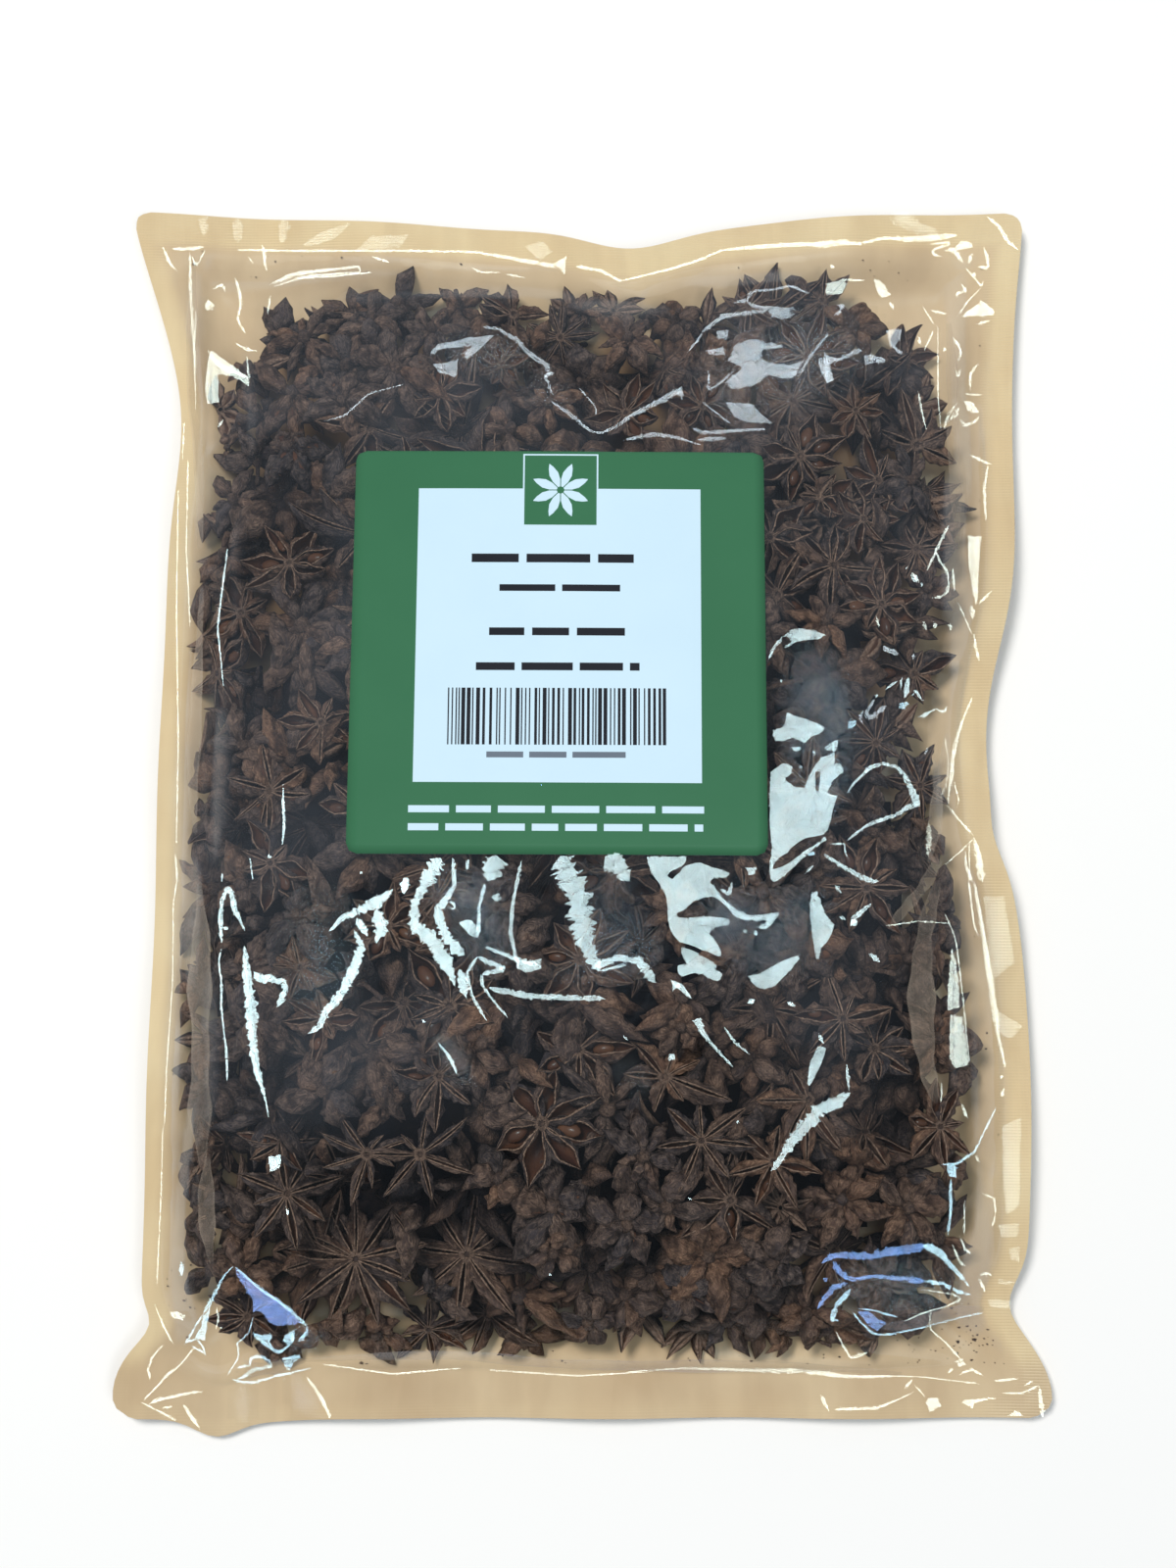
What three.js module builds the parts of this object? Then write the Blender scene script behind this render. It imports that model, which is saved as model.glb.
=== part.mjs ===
// A clear heat-sealed pouch of whole star anise, lying on its back, with a
// square paper label stuck on its front. Millimetres, +Z up, +Y towards the
// pouch's top seal, origin under the middle of the whole thing on the surface
// it rests on.
//
// The pouch is one closed solid: the outer form of the film with the pods in
// it. Its back is flat where it lies on the table. The label is a thin slab
// that follows the crowned front of the pouch.

import * as THREE from 'three';
import { mergeVertices } from 'three/addons/utils/BufferGeometryUtils.js';

// ---------------------------------------------------------------- dimensions
// flat sides of the pouch before it is filled, and the welded seal bands
const LEFT_X = -106.8, RIGHT_X = 110.3;          // side edges at mid height
const TOP_Y = 159.6, BOTTOM_Y = -147.2;          // end edges
const LEFT_TAPER = 0.018;                        // the left edge's lean, mm per mm
const SEAL_LEFT = 5.0, SEAL_RIGHT = 7.0;         // side seal bands
const SEAL_TOP = 9.0, SEAL_BOTTOM = 12.5;        // top seal, and the empty film at the foot
const CORNER_RADIUS = 5.0;
const FLANGE = 1.0;                              // both films and the weld, thickened

// how far each edge waves in (+) or out (-): place along the edge, spread, depth
const LEFT_WAVES = [[101, 17, 2.9], [170, 26, -13.5], [-124.5, 4, 3.2], [-141, 9, -6.5]];
const RIGHT_WAVES = [[165, 22, -4.2], [15, 22, 7.6], [38, 14, 1.6], [-3, 6, 1.6],
  [-60, 22, -1.4], [-119.5, 6, 4.6], [-142, 9, -6.0]];
const TOP_WAVES = [[8, 38, 5.0], [12, 11, 5.0], [-60, 30, 1.6]];
const BOTTOM_WAVES = [[-91, 5, -3.6], [-84, 10, -1.3]];

// height of the seal bands over the table: they hang off the filled middle
const SIDE_LIFT = 8.5, TOP_LIFT = 6.0, BOTTOM_LIFT = 4.0;
const SIDE_RIPPLE = 1.4, SIDE_RIPPLE_LENGTH = 74;
const END_RIPPLE = 1.2, END_RIPPLE_LENGTH = 61;

// height of the filled front along the pouch: place, height
const CROWN = [[-147, 26], [-125, 30], [-100, 35], [-72, 39.5], [-42, 42], [-10, 41.2],
  [25, 37.4], [60, 33.6], [95, 29.8], [125, 25], [150, 20]];
const SIDE_FALL = 0.06;                          // how much lower the sides are than the middle
const SHOULDERS = [44, 52, 58, 42];              // rounding from the seals up to the front: left, right, top, bottom
const SHOULDER_POWER = 2.1, SHOULDER_BULGE = 0.75;
const BACK_SHOULDER = 13;                        // rounding from the seals down to the back

// lumps that the pods press into the front film
const LUMP_PITCH = 21, LUMP_SPREAD = 8.0, LUMP_HEIGHT = 5.5;
const LUMP_CALM = 0.12;                          // what is left of them under the label

// label
const LABEL_WIDTH = 100.2, LABEL_HEIGHT = 100.0, LABEL_RADIUS = 2.6;
const LABEL_X = -5.8, LABEL_Y = 40.2, LABEL_TURN_DEG = -0.3;
const LABEL_THICKNESS = 0.3, LABEL_GAP = 0.35;

// how finely the two solids are divided
const COLUMNS = 36, ROWS = 50, LABEL_CELLS = 12;

// ------------------------------------------------------------------ functions
const bell = (t, at, spread) => Math.exp(-0.5 * ((t - at) / spread) ** 2);
const waves = (t, list) => list.reduce((sum, [at, spread, depth]) => sum + depth * bell(t, at, spread), 0);
const clamp01 = (t) => Math.min(1, Math.max(0, t));
const smooth = (t) => { const c = clamp01(t); return c * c * (3 - 2 * c); };
const lerp = (a, b, t) => a + (b - a) * t;

const leftEdge = (y) => LEFT_X + LEFT_TAPER * (y - 20) + waves(y, LEFT_WAVES);
const rightEdge = (y) => RIGHT_X - waves(y, RIGHT_WAVES);
const topEdge = (x) => TOP_Y - waves(x, TOP_WAVES);
const bottomEdge = (x) => BOTTOM_Y + waves(x, BOTTOM_WAVES);

// the crown's height is a smooth curve through its named heights
const crownCurve = new THREE.SplineCurve(CROWN.map(([y, z]) => new THREE.Vector2(y, z)));
const crownTable = crownCurve.getPoints(160);
function crown(y) {
  if (y <= crownTable[0].x) return crownTable[0].y;
  for (let i = 1; i < crownTable.length; i++) {
    if (crownTable[i].x >= y) {
      const a = crownTable[i - 1], b = crownTable[i];
      return lerp(a.y, b.y, (y - a.x) / (b.x - a.x));
    }
  }
  return crownTable[crownTable.length - 1].y;
}

// one pod's lump stands in each cell of a loose, uneven lattice
const jitter = (i, j, k) => {
  const s = Math.sin(i * 127.1 + j * 311.7 + k * 74.7) * 43758.5453;
  return s - Math.floor(s);
};
function lumps(x, y) {
  const ci = Math.round(x / LUMP_PITCH), cj = Math.round(y / LUMP_PITCH);
  let sum = 0;
  for (let i = ci - 2; i <= ci + 2; i++) {
    for (let j = cj - 2; j <= cj + 2; j++) {
      const px = (i + 0.7 * (jitter(i, j, 1) - 0.5)) * LUMP_PITCH;
      const py = (j + 0.7 * (jitter(i, j, 2) - 0.5)) * LUMP_PITCH;
      const r = LUMP_SPREAD * (0.75 + 0.5 * jitter(i, j, 3));
      sum += (jitter(i, j, 4) - 0.42) * LUMP_HEIGHT * Math.exp(-0.5 * ((x - px) ** 2 + (y - py) ** 2) / r ** 2);
    }
  }
  return sum;
}
function underLabel(x, y) {
  const a = THREE.MathUtils.degToRad(LABEL_TURN_DEG);
  const dx = x - LABEL_X, dy = y - LABEL_Y;
  const u = Math.abs(dx * Math.cos(a) + dy * Math.sin(a)) - LABEL_WIDTH / 2;
  const v = Math.abs(-dx * Math.sin(a) + dy * Math.cos(a)) - LABEL_HEIGHT / 2;
  return 1 - smooth((Math.max(u, v) - 3) / 12);
}

// distances from the welded seals' inner lines, positive in the filled space
const inside = (x, y) => [x - leftEdge(y) - SEAL_LEFT, rightEdge(y) - SEAL_RIGHT - x,
  topEdge(x) - SEAL_TOP - y, y - bottomEdge(x) - SEAL_BOTTOM];
const shoulder = (d, wide) => (1 - (1 - clamp01(d / wide)) ** SHOULDER_POWER) ** SHOULDER_BULGE;

// middle height of the two joined films along the seals
function flange(x, y) {
  const toTop = smooth((y - 90) / 65), toBottom = smooth((-95 - y) / 45);
  const side = SIDE_LIFT + SIDE_RIPPLE * Math.sin((2 * Math.PI * y) / SIDE_RIPPLE_LENGTH + (x < 0 ? 0.6 : 2.4));
  const end = (base) => base + END_RIPPLE * Math.sin((2 * Math.PI * x) / END_RIPPLE_LENGTH + 0.9);
  return lerp(lerp(side, end(TOP_LIFT), toTop), end(BOTTOM_LIFT), toBottom);
}

function frontHeight(x, y) {
  const fill = inside(x, y).reduce((p, d, i) => p * shoulder(d, SHOULDERS[i]), 1);
  const z = flange(x, y) + FLANGE / 2;
  const full = crown(y) * (1 - SIDE_FALL * (x / 95) ** 2);
  const calm = lerp(1, LUMP_CALM, underLabel(x, y));
  return z + (full - z + lumps(x, y) * calm) * fill;
}
function backHeight(x, y) {
  const down = inside(x, y).reduce((p, d) => p * smooth(d / BACK_SHOULDER), 1);
  return (flange(x, y) - FLANGE / 2) * (1 - down);
}

// a grid line's share of the way across: closer lines over the seals and shoulders
const spread = (t) => t - 0.088 * Math.sin(2 * Math.PI * t);

function solid(geometry, place) {
  geometry.deleteAttribute('normal');
  geometry.deleteAttribute('uv');
  const merged = mergeVertices(geometry, 1e-4);
  const p = merged.attributes.position;
  for (let i = 0; i < p.count; i++) {
    const [x, y, z] = place(p.getX(i), p.getY(i), p.getZ(i));
    p.setXYZ(i, x, y, z);
  }
  merged.computeVertexNormals();
  return merged;
}

// ----------------------------------------------------------------------- pouch
const pull = CORNER_RADIUS * (1 - Math.SQRT1_2);
const pouchGeometry = solid(new THREE.BoxGeometry(1, 1, 1, COLUMNS, ROWS, 1), (u, v, w) => {
  const a = spread(u + 0.5), b = spread(v + 0.5);
  // first guess, then the place where the crossing edges' waves agree
  let x = lerp(LEFT_X, RIGHT_X, a), y = lerp(BOTTOM_Y, TOP_Y, b);
  for (let k = 0; k < 6; k++) {
    x = lerp(leftEdge(y), rightEdge(y), a);
    y = lerp(bottomEdge(x), topEdge(x), b);
  }
  if (Math.abs(u) > 0.499 && Math.abs(v) > 0.499) {
    x -= Math.sign(u) * pull;
    y -= Math.sign(v) * pull;
  }
  return [x, y, w > 0 ? frontHeight(x, y) : backHeight(x, y)];
});

// ----------------------------------------------------------------------- label
const turn = THREE.MathUtils.degToRad(LABEL_TURN_DEG);
const labelPull = LABEL_RADIUS * (1 - Math.SQRT1_2);
const labelLine = (t, length) => {                // the first and last cells are one radius wide
  const n = Math.round((t + 0.5) * LABEL_CELLS);
  if (n === 0) return -length / 2;
  if (n === LABEL_CELLS) return length / 2;
  return lerp(-length / 2 + LABEL_RADIUS, length / 2 - LABEL_RADIUS, (n - 1) / (LABEL_CELLS - 2));
};
const labelGeometry = solid(new THREE.BoxGeometry(1, 1, 1, LABEL_CELLS, LABEL_CELLS, 1), (u, v, w) => {
  let lx = labelLine(u, LABEL_WIDTH), ly = labelLine(v, LABEL_HEIGHT);
  if (Math.abs(u) > 0.499 && Math.abs(v) > 0.499) {
    lx -= Math.sign(u) * labelPull;
    ly -= Math.sign(v) * labelPull;
  }
  const x = LABEL_X + lx * Math.cos(turn) - ly * Math.sin(turn);
  const y = LABEL_Y + lx * Math.sin(turn) + ly * Math.cos(turn);
  return [x, y, frontHeight(x, y) + LABEL_GAP + (w > 0 ? LABEL_THICKNESS : 0)];
});

// -------------------------------------------------------------------- assembly
const bag = new THREE.Mesh(pouchGeometry, new THREE.MeshStandardMaterial({
  name: 'bag_film', color: new THREE.Color().setRGB(0.70, 0.60, 0.47, THREE.SRGBColorSpace), roughness: 0.15, metalness: 0 }));
bag.name = 'bag';
const label = new THREE.Mesh(labelGeometry, new THREE.MeshStandardMaterial({
  name: 'label_paper', color: new THREE.Color().setRGB(0.24, 0.46, 0.32, THREE.SRGBColorSpace), roughness: 0.5, metalness: 0 }));
label.name = 'label';

// the origin goes under the middle of the pouch's outline
pouchGeometry.computeBoundingBox();
const centre = pouchGeometry.boundingBox.getCenter(new THREE.Vector3());
const pouch = new THREE.Group();
pouch.add(bag, label);
pouch.position.set(-centre.x, -centre.y, 0);

const part = new THREE.Group();
part.name = 'star_anise_bag';
part.add(pouch);
part.updateMatrixWorld(true);

export default part;
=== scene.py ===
import math

import bpy
import numpy as np
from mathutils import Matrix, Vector
from mathutils.geometry import tessellate_polygon


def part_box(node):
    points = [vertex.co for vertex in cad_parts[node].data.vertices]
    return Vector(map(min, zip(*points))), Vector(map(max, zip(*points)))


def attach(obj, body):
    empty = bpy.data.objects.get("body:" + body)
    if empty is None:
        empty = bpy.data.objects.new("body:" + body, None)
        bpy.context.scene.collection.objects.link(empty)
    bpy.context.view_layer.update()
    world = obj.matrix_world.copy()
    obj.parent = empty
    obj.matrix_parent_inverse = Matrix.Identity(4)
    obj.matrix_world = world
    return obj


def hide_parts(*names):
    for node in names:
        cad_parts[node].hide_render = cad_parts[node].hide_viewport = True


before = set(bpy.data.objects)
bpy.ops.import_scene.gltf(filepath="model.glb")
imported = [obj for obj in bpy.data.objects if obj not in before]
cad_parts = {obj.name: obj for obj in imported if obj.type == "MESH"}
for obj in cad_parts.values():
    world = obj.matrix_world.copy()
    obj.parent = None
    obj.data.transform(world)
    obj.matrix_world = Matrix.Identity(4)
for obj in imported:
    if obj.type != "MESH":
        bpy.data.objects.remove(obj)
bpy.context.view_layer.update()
BAG_LO, BAG_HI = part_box("bag")
SC = bpy.context.scene
MM = 0.001

# Everything below is worked out in millimetres in the pouch's own plan, whose
# origin is OX, OY away from the model's, and is turned into metres at the end.
OX, OY = -0.05, -3.99


# =============================================================== small helpers
def bell(t, at, spread):
    return np.exp(-0.5 * ((t - at) / spread) ** 2)


def smooth(t):
    c = np.clip(t, 0, 1)
    return c * c * (3 - 2 * c)


def lerp(a, b, t):
    return a + (b - a) * t


def value_noise(x, y, size, seed, octaves=1):
    """smooth 2-D noise, -1..1"""
    out = np.zeros(np.broadcast(x, y).shape)
    amp, total = 1.0, 0.0
    for o in range(octaves):
        r = np.random.default_rng(seed + 101 * o)
        grid = r.uniform(-1, 1, (64, 64))
        u = np.asarray(x) / size * 2 ** o + 31.3
        v = np.asarray(y) / size * 2 ** o + 27.7
        i, j = np.floor(u).astype(int), np.floor(v).astype(int)
        fu, fv = u - i, v - j
        fu, fv = fu * fu * (3 - 2 * fu), fv * fv * (3 - 2 * fv)
        g = lambda a, b: grid[a % 64, b % 64]
        out += amp * lerp(lerp(g(i, j), g(i + 1, j), fu), lerp(g(i, j + 1), g(i + 1, j + 1), fu), fv)
        total += amp
        amp *= 0.5
    return out / total


def srgb(r, g, b, a=1.0):
    f = lambda c: c / 255 / 12.92 if c / 255 <= 0.04045 else ((c / 255 + 0.055) / 1.055) ** 2.4
    return (f(r), f(g), f(b), a)


# ================================================================== the camera
# The photograph looks down at the pouch from 0.56 m, 5.5 degrees off the
# vertical towards its foot. Pixels are those of a 1200 x 1600 frame.
CAM_D, CAM_SCALE, CAM_TILT = 560.0, 0.2475, math.radians(5.5)
FOCAL = CAM_D / CAM_SCALE
TARGET = np.array([1.36125, 10.1475, 8.0])
EYE = TARGET + CAM_D * np.array([0, -math.sin(CAM_TILT), math.cos(CAM_TILT)])
FWD = (TARGET - EYE) / CAM_D
RIGHT = np.array([1.0, 0, 0])
UP = np.cross(RIGHT, FWD)


def to_plan(u, v, z):
    """where the ray through pixel (u, v) meets height z"""
    d = FWD * FOCAL + RIGHT * (u - 600.0) - UP * (v - 800.0)
    return EYE + (z - EYE[2]) / d[2] * d


def to_pixel(x, y, z):
    q = np.stack([np.asarray(x) - EYE[0], np.asarray(y) - EYE[1], np.asarray(z) - EYE[2]], -1)
    depth = q @ FWD
    return 600.0 + FOCAL * (q @ RIGHT) / depth, 800.0 - FOCAL * (q @ UP) / depth


# ==================================================== the pouch's plan and form
LEFT_WAVES = [(101, 17, 2.9), (170, 26, -13.5), (-124.5, 4, 3.2), (-141, 9, -6.5)]
RIGHT_WAVES = [(165, 22, -4.2), (15, 22, 7.6), (38, 14, 1.6), (-3, 6, 1.6), (-60, 22, -1.4), (-119.5, 6, 4.6), (-142, 9, -6.0)]
TOP_WAVES = [(8, 38, 5.0), (12, 11, 5.0), (-60, 30, 1.6)]
BOTTOM_WAVES = [(-91, 5, -3.6), (-84, 10, -1.3)]
SEAL_L, SEAL_R, SEAL_T, SEAL_B = 5.0, 7.0, 9.0, 12.5
CROWN = [(-147, 26), (-125, 30), (-100, 35), (-72, 39.5), (-42, 42), (-10, 41.2), (25, 37.4), (60, 33.6), (95, 29.8), (125, 25), (150, 20)]


def waves(t, table):
    return sum(d * bell(t, at, s) for at, s, d in table)


def edge_left(y):
    return -106.8 + 0.018 * (y - 20) + waves(y, LEFT_WAVES)


def edge_right(y):
    return 110.3 - waves(y, RIGHT_WAVES)


def edge_top(x):
    return 159.6 - waves(x, TOP_WAVES)


def edge_bottom(x):
    return -147.2 + waves(x, BOTTOM_WAVES)


def crown(y):
    """smooth curve through the crown's heights"""
    t = np.array(CROWN, float)
    yy = np.linspace(t[0, 0], t[-1, 0], 600)
    zz = np.interp(yy, t[:, 0], t[:, 1])
    k = np.exp(-0.5 * (np.arange(-40, 41) / 14.0) ** 2)
    k /= k.sum()
    pad = np.concatenate([np.full(40, zz[0]) + (zz[0] - zz[1:41][::-1]), zz, np.full(40, zz[-1]) + (zz[-1] - zz[-41:-1][::-1])])
    return np.interp(y, yy, np.convolve(pad, k, "valid"))


def inset(x, y):
    return [x - edge_left(y) - SEAL_L, edge_right(y) - SEAL_R - x, edge_top(x) - SEAL_T - y, y - edge_bottom(x) - SEAL_B]


def flange(x, y):
    to_top, to_bottom = smooth((y - 90) / 65), smooth((-95 - y) / 45)
    side = 8.5 + 1.4 * np.sin(2 * np.pi * y / 74 + np.where(x < 0, 0.6, 2.4))
    end_top = 6.0 + 1.2 * np.sin(2 * np.pi * x / 61 + 0.9)
    end_bottom = 4.0 + 1.2 * np.sin(2 * np.pi * x / 61 + 0.9)
    return lerp(lerp(side, end_top, to_top), end_bottom, to_bottom)


def front_base(x, y):
    fill = 1.0
    for d, wide in zip(inset(x, y), (44.0, 52.0, 58.0, 42.0)):
        fill = fill * (1 - (1 - np.clip(d / wide, 0, 1)) ** 2.1) ** 0.75
    z = flange(x, y) + 0.3
    full = crown(y) * (1 - 0.06 * (x / 95) ** 2)
    return z + (full - z) * fill


def back_base(x, y):
    down = 1.0
    for d in inset(x, y):
        down = down * smooth(d / 13)
    return (flange(x, y) - 0.1) * (1 - down) + 0.12


LABEL_X, LABEL_Y, LABEL_W, LABEL_H, LABEL_R = -5.8, 40.2, 100.2, 100.0, 2.6
LABEL_TURN = math.radians(-0.3)


def label_outside(x, y):
    """distance outside the label's square, negative inside"""
    dx, dy = x - LABEL_X, y - LABEL_Y
    u = np.abs(dx * math.cos(LABEL_TURN) + dy * math.sin(LABEL_TURN)) - LABEL_W / 2
    v = np.abs(-dx * math.sin(LABEL_TURN) + dy * math.cos(LABEL_TURN)) - LABEL_H / 2
    return np.maximum(u, v)


# a raster over the pouch's plan
RES = 0.8
RX = np.arange(-124, 124.01, RES)
RY = np.arange(-160, 168.01, RES)
GX, GY = np.meshgrid(RX, RY)


def look_up(raster, x, y):
    """bilinear value of a raster at plan points"""
    u = np.clip((x - RX[0]) / RES, 0, len(RX) - 1.001)
    v = np.clip((y - RY[0]) / RES, 0, len(RY) - 1.001)
    i, j = u.astype(int), v.astype(int)
    fu, fv = u - i, v - j
    return (raster[j, i] * (1 - fu) * (1 - fv) + raster[j, i + 1] * fu * (1 - fv)
            + raster[j + 1, i] * (1 - fu) * fv + raster[j + 1, i + 1] * fu * fv)


def blur(raster, sigma):
    n = int(3 * sigma + 1)
    k = np.exp(-0.5 * (np.arange(-n, n + 1) / sigma) ** 2)
    k /= k.sum()
    pad = np.pad(raster, n, mode="edge")
    pad = np.apply_along_axis(lambda r: np.convolve(r, k, "valid"), 1, pad)
    return np.apply_along_axis(lambda r: np.convolve(r, k, "valid"), 0, pad)


# ============================================================== the front film
LAMP = np.array([70.0, 60.0, 1300.0])          # the overhead panel, for the film's glints
LAMP_HALF = (105.0, 90.0)
KEEP_OFF = 0.075                               # film elsewhere leans at least this far off the panel's reflection

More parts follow.
